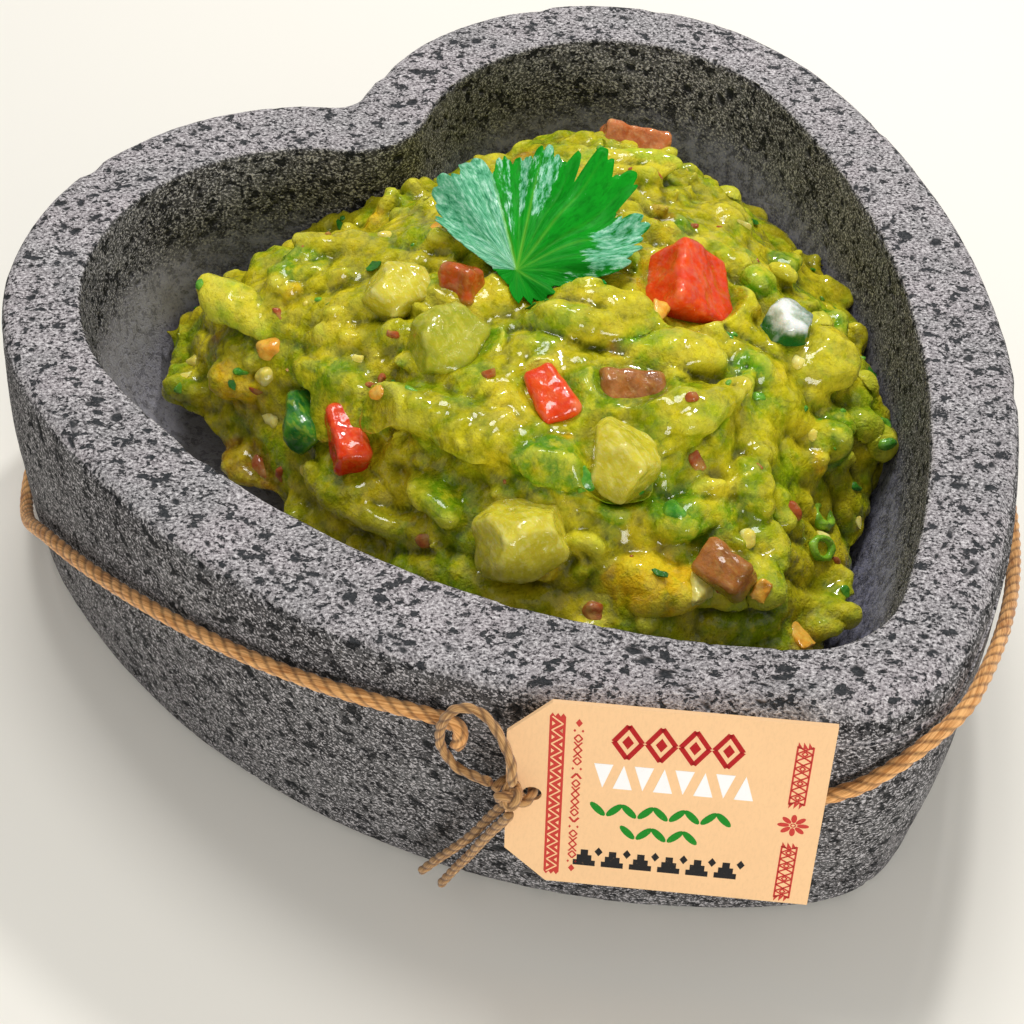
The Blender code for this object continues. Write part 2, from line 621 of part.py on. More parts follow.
def make_tag(material):
    """Card with two corners cut off and a hole between them."""
    half_w, half_h = TAG_WIDTH / 2.0, TAG_HEIGHT / 2.0
    cut_w, cut_h = TAG_CORNER
    corners = ((-half_w, half_h - cut_h), (-half_w, cut_h - half_h), (cut_w - half_w, -half_h),
               (half_w, -half_h), (half_w, half_h), (cut_w - half_w, half_h))
    bm = bmesh.new()
    outline = [bm.verts.new((x, y, TAG_THICKNESS / 2.0)) for x, y in corners]
    turns = [2.0 * math.pi * step / TAG_HOLE_STEPS for step in range(TAG_HOLE_STEPS)]
    hole = [bm.verts.new(tag_hole() + Vector((math.cos(turn) * TAG_HOLE_RADIUS,
                                              math.sin(turn) * TAG_HOLE_RADIUS, TAG_THICKNESS / 2.0)))
            for turn in turns]
    edges = [bm.edges.new((a, b)) for loop in (outline, hole) for a, b in zip(loop, loop[1:] + loop[:1])]
    bmesh.ops.triangle_fill(bm, use_beauty=True, edges=edges)
    back = bmesh.ops.extrude_face_region(bm, geom=bm.faces[:])
    moved = [item for item in back["geom"] if isinstance(item, bmesh.types.BMVert)]
    bmesh.ops.translate(bm, verts=moved, vec=(0.0, 0.0, -TAG_THICKNESS))
    bm.transform(tag_matrix())
    add_object("tag", mesh_from(bm, "tag"), material, smooth=False)


def make_tie(material):
    """Knot at the card's edge, the turn of string through the hole, the loop and both tails."""
    bm = bmesh.new()
    bmesh.ops.create_icosphere(bm, subdivisions=2, radius=0.5 * MM, matrix=Matrix.Diagonal((*KNOT_SIZE, 1.0)))
    bm.transform(Matrix.Translation(KNOT_CENTRE))
    add_object("tie_knot", mesh_from(bm, "tie_knot"), material)
    card = tag_matrix()
    ring = [card @ (tag_hole() + Vector((along, 0.0, front)) * MM) for along, front in RING_ROUTE]
    make_cord("tie_turn", smooth_through(ring, 12), STRING_DIAMETER, material)
    make_cord("tie_loop", string_points(LOOP_ROUTE), STRING_DIAMETER, material)
    for number, route in enumerate(TAIL_ROUTES, 1):
        make_cord(f"tie_tail_{number}", string_points(route), STRING_DIAMETER, material)


def main():
    clear_scene()
    finish = make_materials()
    make_bowl(finish["stone"])
    heap = make_heap(finish["guacamole"])
    for name, (size, place, turns) in TOMATO_DICE.items():
        make_die(name, size, place, turns, finish["tomato"], heap)
    for name, (size, place, turns) in AVOCADO_CHUNKS.items():
        make_chunk(name, size, place, turns, finish["avocado"], heap)
    make_chunk("onion", *ONION, finish["onion"], heap)
    make_chunk("green_chilli", *GREEN_CHILLI, finish["chilli"], heap)
    make_leaf(finish["leaf"])
    make_twine(finish["twine"])
    make_tag(finish["paper"])
    make_tie(finish["string"])


main()
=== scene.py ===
"""Guacamole in a heart-shaped mortar bowl of volcanic stone, with twine and a paper tag round it.

Each operator makes one group of pieces in metres around the packed frame, with +Z up. The bowl
stands on the origin, the notch of its heart points to +Y and its tip to -Y.
"""

import math
import random

import bmesh
import bpy
import numpy as np
from bpy.props import FloatProperty, FloatVectorProperty, IntProperty, PointerProperty
from mathutils import Matrix, Vector, kdtree, noise


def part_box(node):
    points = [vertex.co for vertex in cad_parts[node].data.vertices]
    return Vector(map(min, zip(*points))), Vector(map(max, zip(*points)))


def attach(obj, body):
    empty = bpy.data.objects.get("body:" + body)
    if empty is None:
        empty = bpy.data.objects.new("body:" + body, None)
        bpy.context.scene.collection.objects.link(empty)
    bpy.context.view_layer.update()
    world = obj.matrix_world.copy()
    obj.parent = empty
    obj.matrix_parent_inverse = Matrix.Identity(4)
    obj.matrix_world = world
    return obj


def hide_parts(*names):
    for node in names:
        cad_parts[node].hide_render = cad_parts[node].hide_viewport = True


bl_info = {
    "name": "Guacamole in a Stone Heart",
    "version": (1, 0, 0),
    "blender": (4, 5, 0),
    "location": "View3D > Sidebar > Guacamole",
    "description": "Makes a heart-shaped stone bowl of guacamole with its toppings, twine and tag",
    "category": "Object",
}

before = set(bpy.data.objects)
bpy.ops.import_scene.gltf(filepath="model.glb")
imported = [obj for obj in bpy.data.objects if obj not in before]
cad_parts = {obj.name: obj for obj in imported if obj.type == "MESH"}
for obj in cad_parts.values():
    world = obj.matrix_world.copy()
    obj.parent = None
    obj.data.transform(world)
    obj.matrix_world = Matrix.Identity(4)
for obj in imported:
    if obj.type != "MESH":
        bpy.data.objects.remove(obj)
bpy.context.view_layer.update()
MM = 0.001
BODY = "root"

# Heart outlines of the bowl in mm: spread of the lobes, radii of lobe, side and tip, how far the
# tip's centre lies below the lobes' centres, and the notch's radius.
OUTER_HEART = (39.2, 60.8, 158.0, 26.4, 119.6, 6.1)
INNER_HEART = (40.0, 44.0, 164.2, 20.8, 108.3, 17.8)
LOBE_Y = 42.6
ARC_STEPS = (16, 168, 116, 28)     # notch, lobe, side and tip of half a heart
MIRROR = np.array([-1.0, 1.0])     # from one half of the heart to the other


# --- Sizes and colours that a user would change -----------------------------------------------
def length_property(name, description, default_mm):
    return FloatProperty(name=name, description=description, default=default_mm * MM, min=0.0,
                         subtype="DISTANCE", unit="LENGTH", precision=5)


def colour_property(name, description, default):
    return FloatVectorProperty(name=name, description=description, default=default, size=3,
                               min=0.0, max=1.0, subtype="COLOR")


def number_property(name, description, default, unit="NONE"):
    return FloatProperty(name=name, description=description, default=default, min=0.0, unit=unit)


def count_property(name, description, default):
    return IntProperty(name=name, description=description, default=default, min=1)


class StageSettings(bpy.types.PropertyGroup):
    """Floor, light and camera."""
    floor_colour: colour_property("Floor", "Colour of the floor", (0.93, 0.895, 0.81))
    top_power: number_property("Top light", "Power of the large light over the bowl", 3.5, "POWER")
    key_power: number_property("Key light", "Power of the small light behind the bowl", 1.9, "POWER")
    fill_power: number_property("Fill light", "Power of the light beside the camera", 3.6, "POWER")
    sky_strength: number_property("Sky", "Strength of the even light from all sides", 0.42)
    focal_length: number_property("Focal length", "Lens of the camera in millimetres", 63.9)


class BowlSettings(bpy.types.PropertyGroup):
    """Stone bowl."""
    height: length_property("Height", "Height of the bowl", 66.2)
    floor_thickness: length_property("Floor", "Thickness of stone under the hollow", 20.0)
    hollow_run: length_property("Hollow run", "How far the hollow's wall runs in down to its floor", 19.0)
    wall_bulge: length_property("Bulge", "Swell of the wall half way up", 1.5)
    pore_size: length_property("Pores", "Spacing of the larger pores in the stone", 3.7)
    pore_depth: length_property("Pore depth", "Depth of the larger pores", 0.75)
    stone_colour: colour_property("Stone", "Colour of the stone between its pores", (0.155, 0.147, 0.148))


class HeapSettings(bpy.types.PropertyGroup):
    """Guacamole."""
    top: length_property("Top", "Height of the heap's top above the table", 75.0)
    detail: length_property("Detail", "Size of the finest lumps that are modelled", 0.85)
    chunks: count_property("Chunks", "Number of larger chunks in the mash", 85)
    bits: count_property("Bits", "Number of small bits in the mash", 120)
    seed: IntProperty(name="Seed", description="Start of the random placing", default=7)
    flesh_colour: colour_property("Flesh", "Colour of the mashed flesh", (0.46, 0.42, 0.007))
    pale_colour: colour_property("Pale flesh", "Colour of the firmer chunks", (0.64, 0.55, 0.035))
    green_colour: colour_property("Green flesh", "Colour of the flesh nearest the peel", (0.20, 0.35, 0.006))


class ToppingSettings(bpy.types.PropertyGroup):
    """Diced vegetables, loose bits and the leaf."""
    tomato_colour: colour_property("Tomato", "Colour of the tomato's flesh", (0.80, 0.050, 0.006))
    onion_colour: colour_property("Onion", "Colour of the onion", (0.92, 0.95, 0.88))
    chilli_colour: colour_property("Chilli", "Colour of the green chilli", (0.07, 0.27, 0.02))
    flakes: count_property("Herb flakes", "Number of shreds of herb on the mash", 14)
    green_bits: count_property("Green bits", "Number of scattered green bits on the mash", 30)
    tomato_bits: count_property("Tomato bits", "Number of scattered soft tomato bits on the mash", 16)
    yellow_bits: count_property("Yellow bits", "Number of scattered pale yellow bits on the mash", 16)
    leaf_colour: colour_property("Leaf", "Colour of the leaf", (0.006, 0.27, 0.012))
    sheen_colour: colour_property("Leaf sheen", "Colour of the leaf's pale shimmer", (0.13, 0.46, 0.25))


class TieSettings(bpy.types.PropertyGroup):
    """Twine, string and tag."""
    twine_diameter: length_property("Twine", "Diameter of the twine round the wall", 3.0)
    string_diameter: length_property("String", "Diameter of the tag's string", 1.9)
    twine_colour: colour_property("Twine", "Colour of the twine", (1.0, 0.50, 0.15))
    string_colour: colour_property("String", "Colour of the string", (0.58, 0.31, 0.095))
    paper_colour: colour_property("Paper", "Colour of the tag's card", (0.95, 0.60, 0.31))
    tag_width: length_property("Tag width", "Length of the tag along its rows", 54.4)
    tag_height: length_property("Tag height", "Height of the tag", 45.0)


def settings(context, name):
    return getattr(context.scene, name)


# --- Shader nodes -------------------------------------------------------------------------------
def per(size_mm):
    """Texture scale that gives features of a size in mm."""
    return 1000.0 / size_mm


def tinted(colour, *shares):
    """Colour times one share, or times a share for each channel."""
    return tuple(c * s for c, s in zip(colour, shares if len(shares) == 3 else shares * 3))


class Nodes:
    """Adds and links the nodes of one material or node group."""

    def __init__(self, tree):
        self.tree = tree

    def new(self, kind, **values):
        node = self.tree.nodes.new(kind)
        for name, value in values.items():
            setattr(node, name, value)
        return node

    def feed(self, socket, value):
        """Links a socket or sets its constant, and makes a plain colour opaque."""
        if isinstance(value, bpy.types.NodeSocket):
            self.tree.links.new(value, socket)
        elif value is not None:
            if socket.type == "RGBA" and len(value) == 3:
                value = (*value, 1.0)
            socket.default_value = value

    def fill(self, sockets, **values):
        """Feeds sockets by their names, with _ for a space."""
        for name, value in values.items():
            self.feed(sockets[name.replace("_", " ")], value)

    def place(self, scale=(1.0, 1.0, 1.0), turn=(0.0, 0.0, 0.0), kind="POINT"):
        mapping = self.new("ShaderNodeMapping", vector_type=kind)
        here = self.new("ShaderNodeTexCoord").outputs["Object"]
        self.fill(mapping.inputs, Vector=here, Scale=scale, Rotation=turn)
        return mapping.outputs["Vector"]

    def vectors(self, operation, a, b=None):
        node = self.new("ShaderNodeVectorMath", operation=operation)
        self.feed(node.inputs[0], a)
        self.feed(node.inputs["Scale"] if operation == "SCALE" else node.inputs[1], b)
        return node.outputs[0]

    def warp(self, vector, scale, amount):
        """Vector pushed about by noise, so that patches lose their plain edges."""
        push = self.new("ShaderNodeTexNoise")
        self.fill(push.inputs, Vector=vector, Scale=scale)
        centred = self.vectors("SUBTRACT", push.outputs["Color"], (0.5, 0.5, 0.5))
        return self.vectors("ADD", vector, self.vectors("SCALE", centred, amount))

    def noise(self, vector, scale, detail=4.0, roughness=0.55, distortion=0.0):
        node = self.new("ShaderNodeTexNoise")
        self.fill(node.inputs, Vector=vector, Scale=scale, Detail=detail, Roughness=roughness,
                  Distortion=distortion)
        return node.outputs["Fac"]

    def attribute(self, name, output="Fac"):
        return self.new("ShaderNodeAttribute", attribute_name=name).outputs[output]

    def span(self, value, low, high, to_low=0.0, to_high=1.0, smooth=False):
        """Value carried from one range to another and held inside it."""
        node = self.new("ShaderNodeMapRange", interpolation_type="SMOOTHSTEP" if smooth else "LINEAR")
        self.fill(node.inputs, Value=value, From_Min=low, From_Max=high, To_Min=to_low, To_Max=to_high)
        return node.outputs["Result"]

    def math(self, operation, a, b=None):
        node = self.new("ShaderNodeMath", operation=operation)
        self.feed(node.inputs[0], a)
        self.feed(node.inputs[1], b)
        return node.outputs[0]

    def mix(self, factor, a, b, blend="MIX"):
        node = self.new("ShaderNodeMix", data_type="RGBA", blend_type=blend)
        self.feed(node.inputs[0], factor)
        self.feed(node.inputs[6], a)
        self.feed(node.inputs[7], b)
        return node.outputs[2]

    def over(self, base, colour, mask, low, high, share=1.0, smooth=False):
        """Colour laid over a base: none of it where the mask is low, a share of it where it is high."""
        return self.mix(self.span(mask, low, high, 0.0, share, smooth), base, colour)

    def tint(self, colour, shares):
        return self.mix(1.0, colour, shares, "MULTIPLY")

    def join(self, x, y, z):
        node = self.new("ShaderNodeCombineXYZ")
        for socket, value in zip(node.inputs, (x, y, z)):
            self.feed(socket, value)
        return node.outputs[0]

    def bump(self, height, strength, distance):
        node = self.new("ShaderNodeBump")
        self.fill(node.inputs, Height=height, Strength=strength, Distance=distance)
        return node.outputs["Normal"]

    def group(self, name, make, **values):
        """Outputs of a node group that is made on its first use and shared after that."""
        node = self.new("ShaderNodeGroup", node_tree=bpy.data.node_groups.get(name) or make())
        self.fill(node.inputs, **values)
        return node.outputs


def shader_material(name, **values):
    """Material with its Principled BSDF set; returns the material, its nodes and the shader's inputs."""
    material = bpy.data.materials.new(name)
    material.use_nodes = True
    nodes = Nodes(material.node_tree)
    surface = material.node_tree.nodes["Principled BSDF"].inputs
    nodes.fill(surface, **values)
    return material, nodes, surface


def shader_group(name, inputs, outputs):
    """Empty node group with named sockets; returns its tree, nodes, inputs and outputs."""
    tree = bpy.data.node_groups.new(name, "ShaderNodeTree")
    for label, kind, default in inputs:
        socket = tree.interface.new_socket(name=label, in_out="INPUT", socket_type=kind)
        socket.default_value = default
    for label, kind in outputs:
        tree.interface.new_socket(name=label, in_out="OUTPUT", socket_type=kind)
    nodes = Nodes(tree)
    return tree, nodes, nodes.new("NodeGroupInput").outputs, nodes.new("NodeGroupOutput").inputs


def moist_group():
    """Wet skin of cut food: glints in patches, over fine dents."""
    inputs = (("Size", "NodeSocketFloat", 1.0), ("Dents", "NodeSocketFloat", 0.3),
              ("Dry", "NodeSocketFloat", 0.42), ("Wet", "NodeSocketFloat", 0.12))
    outputs = (("Roughness", "NodeSocketFloat"), ("Coat", "NodeSocketFloat"), ("Normal", "NodeSocketVector"))
    tree, nodes, given, result = shader_group("moist surface", inputs, outputs)
    vector = nodes.vectors("SCALE", nodes.place(), given["Size"])
    patches = nodes.span(nodes.noise(vector, per(2.6), 3.0, 0.65), 0.43, 0.54, smooth=True)
    dents = nodes.noise(vector, per(1.5), 3.0, 0.6, 0.6)
    grain = nodes.noise(vector, per(0.45), 1.0)
    height = nodes.math("ADD", dents, nodes.math("MULTIPLY", grain, 0.25))
    nodes.fill(result, Roughness=nodes.span(patches, 0.0, 1.0, given["Dry"], given["Wet"]), Coat=patches,
               Normal=nodes.bump(height, given["Dents"], 0.8 * MM))
    return tree


def wet_skin(nodes, surface, colour, **values):
    """Gives a shader its colour and the shared moist surface."""
    wet = nodes.group("moist surface", moist_group, **values)
    nodes.fill(surface, Base_Color=colour, Roughness=wet["Roughness"], Coat_Weight=wet["Coat"],
               Normal=wet["Normal"])


def fibre_group():
    """Strands of plant fibre that run along a cord, from its own lengthwise map."""
    inputs = (("Colour", "NodeSocketColor", (0.7, 0.4, 0.2, 1.0)), ("Streaks", "NodeSocketFloat", 26.0))
    outputs = (("Colour", "NodeSocketColor"), ("Roughness", "NodeSocketFloat"),
               ("Normal", "NodeSocketVector"))
    tree, nodes, given, result = shader_group("plant fibre", inputs, outputs)
    along, around = nodes.attribute("along"), nodes.attribute("around")
    slanted = nodes.math("ADD", around, nodes.math("MULTIPLY", along, 14.0))
    turn = nodes.math("MULTIPLY", slanted, 2.0 * math.pi)
    ring = nodes.join(nodes.math("COSINE", turn), nodes.math("SINE", turn),
                      nodes.math("MULTIPLY", along, 60.0))
    streaks = nodes.noise(ring, nodes.math("MULTIPLY", given["Streaks"], 0.12), 5.0, 0.65)
    shade = nodes.noise(nodes.place(), per(7.0), 3.0)
    dark = nodes.tint(given["Colour"], (0.42, 0.30, 0.20))
    light = nodes.mix(0.30, given["Colour"], (1.0, 0.66, 0.34))
    colour = nodes.over(dark, light, streaks, 0.34, 0.66, smooth=True)
    colour = nodes.over(colour, given["Colour"], shade, 0.35, 0.7, 0.35)
    # painted shade: the grooves between the strands are painted dark brown
    colour = nodes.over(colour, (0.10, 0.045, 0.02), nodes.attribute("hollow"), 0.3, 1.0, 0.85)
    nodes.fill(result, Colour=colour, Roughness=nodes.span(streaks, 0.3, 0.7, 0.9, 0.7),
               Normal=nodes.bump(streaks, 0.8, 0.25 * MM))
    return tree


def stone_material(colour):
    """Basalt: dark, pitted and flecked on its walls, paler between the pores where its rim is ground; its
    pores are painted nearly black as painted shade, and the left wall of its hollow paler as painted light.
    """
    material, nodes, surface = shader_material("volcanic stone", Specular_IOR_Level=0.25)
    vector = nodes.place((1.35, 1.0, 1.0), (0.0, math.radians(14.0), math.radians(-34.0)), "TEXTURE")
    coarse = nodes.noise(nodes.warp(vector, per(3.0), 0.0010), per(2.2), 3.0, 0.66)
    fine = nodes.noise(vector, per(1.0), 3.0, 0.7)
    speck = nodes.noise(vector, per(0.50), 2.0, 0.75)
    cloud = nodes.noise(vector, per(13.0), 2.0)
    blotch = nodes.noise(vector, per(2.6), 4.0, 0.72)
    edge = nodes.math("MULTIPLY", nodes.math("SUBTRACT", nodes.noise(vector, per(5.0), 3.0, 0.7), 0.5), 1.5)
    worn = nodes.span(nodes.math("ADD", nodes.attribute("worn"), edge), 0.42, 0.58, smooth=True)
    inner = nodes.attribute("inner")
    # pores where the noises run low, and in the pits of the surface itself, painted nearly black below as
    # painted shade inside them
    pit = nodes.math("ADD", nodes.attribute("pit"), nodes.math("MULTIPLY", fine, 0.7))
    pores = nodes.math("MAXIMUM", nodes.span(coarse, 0.435, 0.385, smooth=True),
                       nodes.span(fine, 0.415, 0.355, 0.0, 0.9, smooth=True))
    pores = nodes.math("MAXIMUM", pores, nodes.span(pit, 0.52, 0.80, smooth=True))
    pores = nodes.math("MULTIPLY", pores, nodes.span(inner, 0.0, 1.0, 1.0, 0.38))
    # ground between them: the worn rim, the outer wall and the wall of the hollow
    pale = nodes.over(tinted(colour, 2.05), tinted(colour, 2.75, 2.6, 2.65), cloud, 0.35, 0.68)
    pale = nodes.over(pale, tinted(colour, 0.45), speck, 0.49, 0.37, 0.92)
    pale = nodes.over(pale, (0.88, 0.84, 0.83), speck, 0.52, 0.66, 0.75)
    dark = nodes.over(tinted(colour, 0.40), tinted(colour, 0.74, 0.76, 0.74), cloud, 0.35, 0.68)
    dark = nodes.over(dark, tinted(colour, 4.0), speck, 0.52, 0.62, 0.9)
    hollow = nodes.over(tinted(colour, 0.65, 0.68, 0.95), tinted(colour, 2.0, 2.1, 2.9), blotch, 0.40, 0.60)
    hollow = nodes.over(hollow, tinted(colour, 2.6), speck, 0.48, 0.64, 0.6)
    # painted light: the left wall of the hollow is painted paler
    hollow = nodes.over(hollow, tinted(colour, 3.0), nodes.attribute("painted_light"), 0.0, 1.0, 0.6)
    ground = nodes.mix(worn, nodes.mix(inner, dark, hollow), pale)
    # painted shade: the pores are painted nearly black inside
    sunk = nodes.mix(worn, (0.007, 0.008, 0.009), (0.021, 0.025, 0.028))
    rough = nodes.math("ADD", nodes.math("MULTIPLY", speck, 0.5), nodes.math("MULTIPLY", fine, 0.5))
    relief = nodes.math("SUBTRACT", rough, pores)
    strength = nodes.span(inner, 0.0, 1.0, 0.85, 0.5)
    nodes.fill(surface, Base_Color=nodes.mix(nodes.math("MULTIPLY", pores, 0.94), ground, sunk),
               Roughness=nodes.span(speck, 0.5, 0.75, 0.9, 0.6),
               Normal=nodes.bump(relief, strength, 0.6 * MM))
    return material


def mash_material():
    """Mashed avocado: tones painted on its lumps, painted shade in its creases and folds, a painted highlight
    on its ridges, and small wet glints.
    """
    material, nodes, surface = shader_material("guacamole", Subsurface_Weight=0.15, Subsurface_Scale=0.0020,
                                               Subsurface_Radius=(1.0, 0.85, 0.15), Coat_Roughness=0.07,
                                               Coat_IOR=1.48, Specular_IOR_Level=0.06)
    vector = nodes.place()
    tone = nodes.attribute("tone", "Color")
    crease = nodes.attribute("crease")
    broad = nodes.noise(nodes.warp(vector, per(9.0), 0.006), per(10.0), 3.0, 0.55)
    soft = nodes.noise(nodes.warp(vector, per(5.0), 0.003), per(3.6), 3.0, 0.6)
    fine = nodes.noise(nodes.warp(vector, per(1.6), 0.0006), per(1.0), 3.0, 0.65)
    colour = nodes.over(tone, nodes.tint(tone, (0.44, 0.86, 0.35)), broad, 0.50, 0.62, 0.70)
    colour = nodes.over(colour, (0.80, 0.62, 0.020), broad, 0.47, 0.34, 0.70)
    colour = nodes.over(colour, (0.82, 0.71, 0.022), soft, 0.54, 0.70, 0.60)
    colour = nodes.over(colour, nodes.tint(colour, (0.50, 0.62, 0.35)), soft, 0.45, 0.30, 0.65)
    colour = nodes.over(colour, nodes.mix(0.55, colour, (0.92, 0.84, 0.07)), fine, 0.53, 0.68, 0.45)
    colour = nodes.over(colour, nodes.tint(colour, (0.50, 0.52, 0.30)), fine, 0.46, 0.32, 0.5)
    # painted shade: the folds and creases of the mash are painted darker
    deep = nodes.tint(colour, (0.25, 0.28, 0.03))
    colour = nodes.over(colour, deep, nodes.attribute("fold"), 0.50, 0.14, 0.60)
    colour = nodes.over(colour, deep, crease, 0.48, 0.20, 0.92)
    # painted highlight: the ridges of the mash are painted paler
    colour = nodes.over(colour, (0.92, 0.85, 0.08), crease, 0.58, 0.90, 0.55)
    wet_skin(nodes, surface, colour, Size=1.0, Dents=0.8, Dry=0.45, Wet=0.25)
    return material


def cut_material(name, colour, core, dents, edge, edge_highlight_share, subsurface, veins=0.0, foot=None,
                 foot_from=0.55):
    """Cut vegetable: its flesh, a second tone inside it, a painted highlight that makes its edges paler, and
    a darker foot.
    """
    material, nodes, surface = shader_material(name, Subsurface_Weight=subsurface, Subsurface_Scale=0.0015,
                                               Subsurface_Radius=(1.0, 0.4, 0.2), Coat_Roughness=0.05,
                                               Specular_IOR_Level=0.12)
    vector = nodes.place()
    soft = nodes.noise(nodes.warp(vector, per(4.0), 0.0015), per(3.0), 4.0, 0.6)
    flesh = nodes.over(colour, core, soft, 0.42, 0.62)
    if veins:
        threads = nodes.noise(nodes.place((1.0, 0.22, 1.0), (0.4, 0.3, 0.5)), per(0.8), 3.0)
        flesh = nodes.over(flesh, edge, threads, 0.52, 0.64, veins)
    if foot:
        low = nodes.math("ADD", nodes.attribute("low"), nodes.math("MULTIPLY", soft, 0.5))
        flesh = nodes.over(flesh, foot, low, foot_from, foot_from + 0.4, smooth=True)
    # painted highlight: the piece's ridges are painted paler in the edge colour, which also serves for the
    # veins
    flesh = nodes.over(flesh, edge, nodes.attribute("edge"), 0.15, 0.8, edge_highlight_share)
    wet_skin(nodes, surface, flesh, Size=1.3, Dents=dents, Dry=0.30, Wet=0.10)
    return material


def cord_material(name, colour):
    material, nodes, surface = shader_material(name, Specular_IOR_Level=0.3, Sheen_Weight=0.25)
    fibre = nodes.group("plant fibre", fibre_group, Colour=colour)
    nodes.fill(surface, Base_Color=fibre["Colour"], Roughness=fibre["Roughness"], Normal=fibre["Normal"])
    return material


def paper_material(colour):
    material, nodes, surface = shader_material("kraft card", Roughness=0.75, Specular_IOR_Level=0.35)
    clouds = nodes.noise(nodes.place(), per(9.0), 3.0)
    fibres = nodes.noise(nodes.warp(nodes.place((1.0, 1.0, 0.35)), per(2.0), 0.0008), per(0.5), 4.0, 0.7)
    ground = nodes.over(colour, tinted(colour, 0.93), clouds, 0.3, 0.7, 0.5)
    ground = nodes.over(ground, tinted(colour, 0.74), fibres, 0.45, 0.75, 0.28)
    nodes.fill(surface, Base_Color=ground, Normal=nodes.bump(fibres, 0.25, 0.1 * MM))
    return material


def ink_material(name, colour):
    material, nodes, surface = shader_material(name, Specular_IOR_Level=0.3)
    wear = nodes.noise(nodes.place(), per(0.6), 4.0, 0.7)
    nodes.fill(surface, Base_Color=nodes.over(colour, (0.93, 0.57, 0.30), wear, 0.62, 0.78, 0.35),
               Roughness=nodes.span(wear, 0.3, 0.7, 0.5, 0.7))
    return material


def leaf_material(colour, painted_sheen):
    """Leaf: pale veins that fan out from its stalk, and a painted sheen: pale streaked colour painted on some
    lobes where they reflect light.
    """
    material, nodes, surface = shader_material("herb leaf", Subsurface_Weight=0.12, Subsurface_Scale=0.001,
                                               Subsurface_Radius=(0.3, 1.0, 0.3), Coat_Roughness=0.15,
                                               Specular_IOR_Level=0.05)
    fan = nodes.math("DIVIDE", nodes.attribute("fan"), 2.1)
    reach = nodes.math("DIVIDE", nodes.attribute("reach"), 3.2)
    threads = nodes.noise(nodes.join(fan, reach, 0.0), 1.0, 4.0, 0.7)
    patches = nodes.noise(nodes.place(), per(7.0), 2.0)
    shade = nodes.over(colour, tinted(colour, 1.3, 1.25, 1.2), patches, 0.35, 0.65)
    shade = nodes.over(shade, tinted(colour, 0.45), threads, 0.54, 0.36, 0.5)
    # painted sheen: pale, streaked colour painted on the lobes that reflect the light
    light = nodes.over(painted_sheen, (0.46, 0.78, 0.58), threads, 0.50, 0.68)
    light = nodes.over(light, (0.012, 0.20, 0.075), threads, 0.49, 0.36, 0.9)
    streaks = nodes.math("MULTIPLY", nodes.math("SUBTRACT", threads, 0.5), 1.8)
    sheen_share = nodes.span(nodes.math("ADD", nodes.attribute("painted_sheen"), streaks), 0.32, 0.62, smooth=True)
    vein = nodes.math("MULTIPLY", nodes.attribute("vein"), 0.8)
    shade = nodes.mix(vein, nodes.mix(sheen_share, shade, light), (0.26, 0.62, 0.05))
    relief = nodes.math("SUBTRACT", threads, vein)
    nodes.fill(surface, Base_Color=shade, Roughness=nodes.span(threads, 0.3, 0.7, 0.5, 0.3),
               Coat_Weight=nodes.span(sheen_share, 0.0, 1.0, 0.0, 0.12),
               Normal=nodes.bump(relief, 0.5, 0.25 * MM))
    return material


# --- Mesh helpers -------------------------------------------------------------------------------
def finish_piece(name, mesh, material, replaced=(), smooth=True, sharp=180.0):
    """Object for a finished mesh, riding on the bowl and standing for its CAD nodes."""
    if not mesh.polygons:
        raise RuntimeError(f"{name} has no faces")
    mesh.materials.clear()
    mesh.materials.append(material)
    if smooth:
        mesh.shade_smooth()
        mesh.set_sharp_from_angle(angle=math.radians(sharp))
    piece = bpy.data.objects.new(name, mesh)
    bpy.context.scene.collection.objects.link(piece)
    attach(piece, BODY)
    if replaced:
        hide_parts(*replaced)
    return piece


def mesh_of(bm, name, outward=True):
    """Mesh of a finished bmesh, its faces pointing out."""
    if outward:
        bmesh.ops.recalc_face_normals(bm, faces=bm.faces[:])
        if bm.calc_volume(signed=True) < 0.0:
            bmesh.ops.reverse_faces(bm, faces=bm.faces[:])
    mesh = bpy.data.meshes.new(name)
    bm.to_mesh(mesh)
    bm.free()
    return mesh


def vertex_values(mesh, key):
    values = np.empty(len(mesh.vertices) * 3)
    mesh.vertices.foreach_get(key, values)
    return values.reshape(-1, 3)


def positions(mesh):
    return vertex_values(mesh, "co")


def normals(mesh):
    return vertex_values(mesh, "normal")


def set_positions(mesh, values):
    mesh.vertices.foreach_set("co", np.asarray(values, float).ravel())
    mesh.update()


def push_out(mesh, points, amount):
    """Puts vertices at points, moved along the mesh's present normals by an amount each."""
    set_positions(mesh, points + normals(mesh) * amount[:, None])


def paint(mesh, name, values):
    """Stores one number or one colour a vertex for the materials to read."""
    values = np.asarray(values, float)
    if values.ndim == 1:
        layer = mesh.attributes.new(name, "FLOAT", "POINT")
        layer.data.foreach_set("value", values)
    else:
        layer = mesh.attributes.new(name, "FLOAT_COLOR", "POINT")
        layer.data.foreach_set("color", np.c_[values, np.ones(len(values))].ravel())


def edge_pairs(mesh):
    pairs = np.empty(len(mesh.edges) * 2, int)
    mesh.edges.foreach_get("vertices", pairs)
    return pairs.reshape(-1, 2)


def neighbour_mean(values, pairs):
    """Mean of each vertex's neighbours."""
    total = np.zeros_like(values)
    count = np.zeros(len(values))
    for a, b in ((0, 1), (1, 0)):
        np.add.at(total, pairs[:, a], values[pairs[:, b]])
        np.add.at(count, pairs[:, a], 1.0)
    count = np.maximum(count, 1.0)
    return total / (count[:, None] if values.ndim == 2 else count)


def relax(points, pairs, rounds, amount=0.5):
    for _ in range(rounds):
        points = points + (neighbour_mean(points, pairs) - points) * amount
    return points


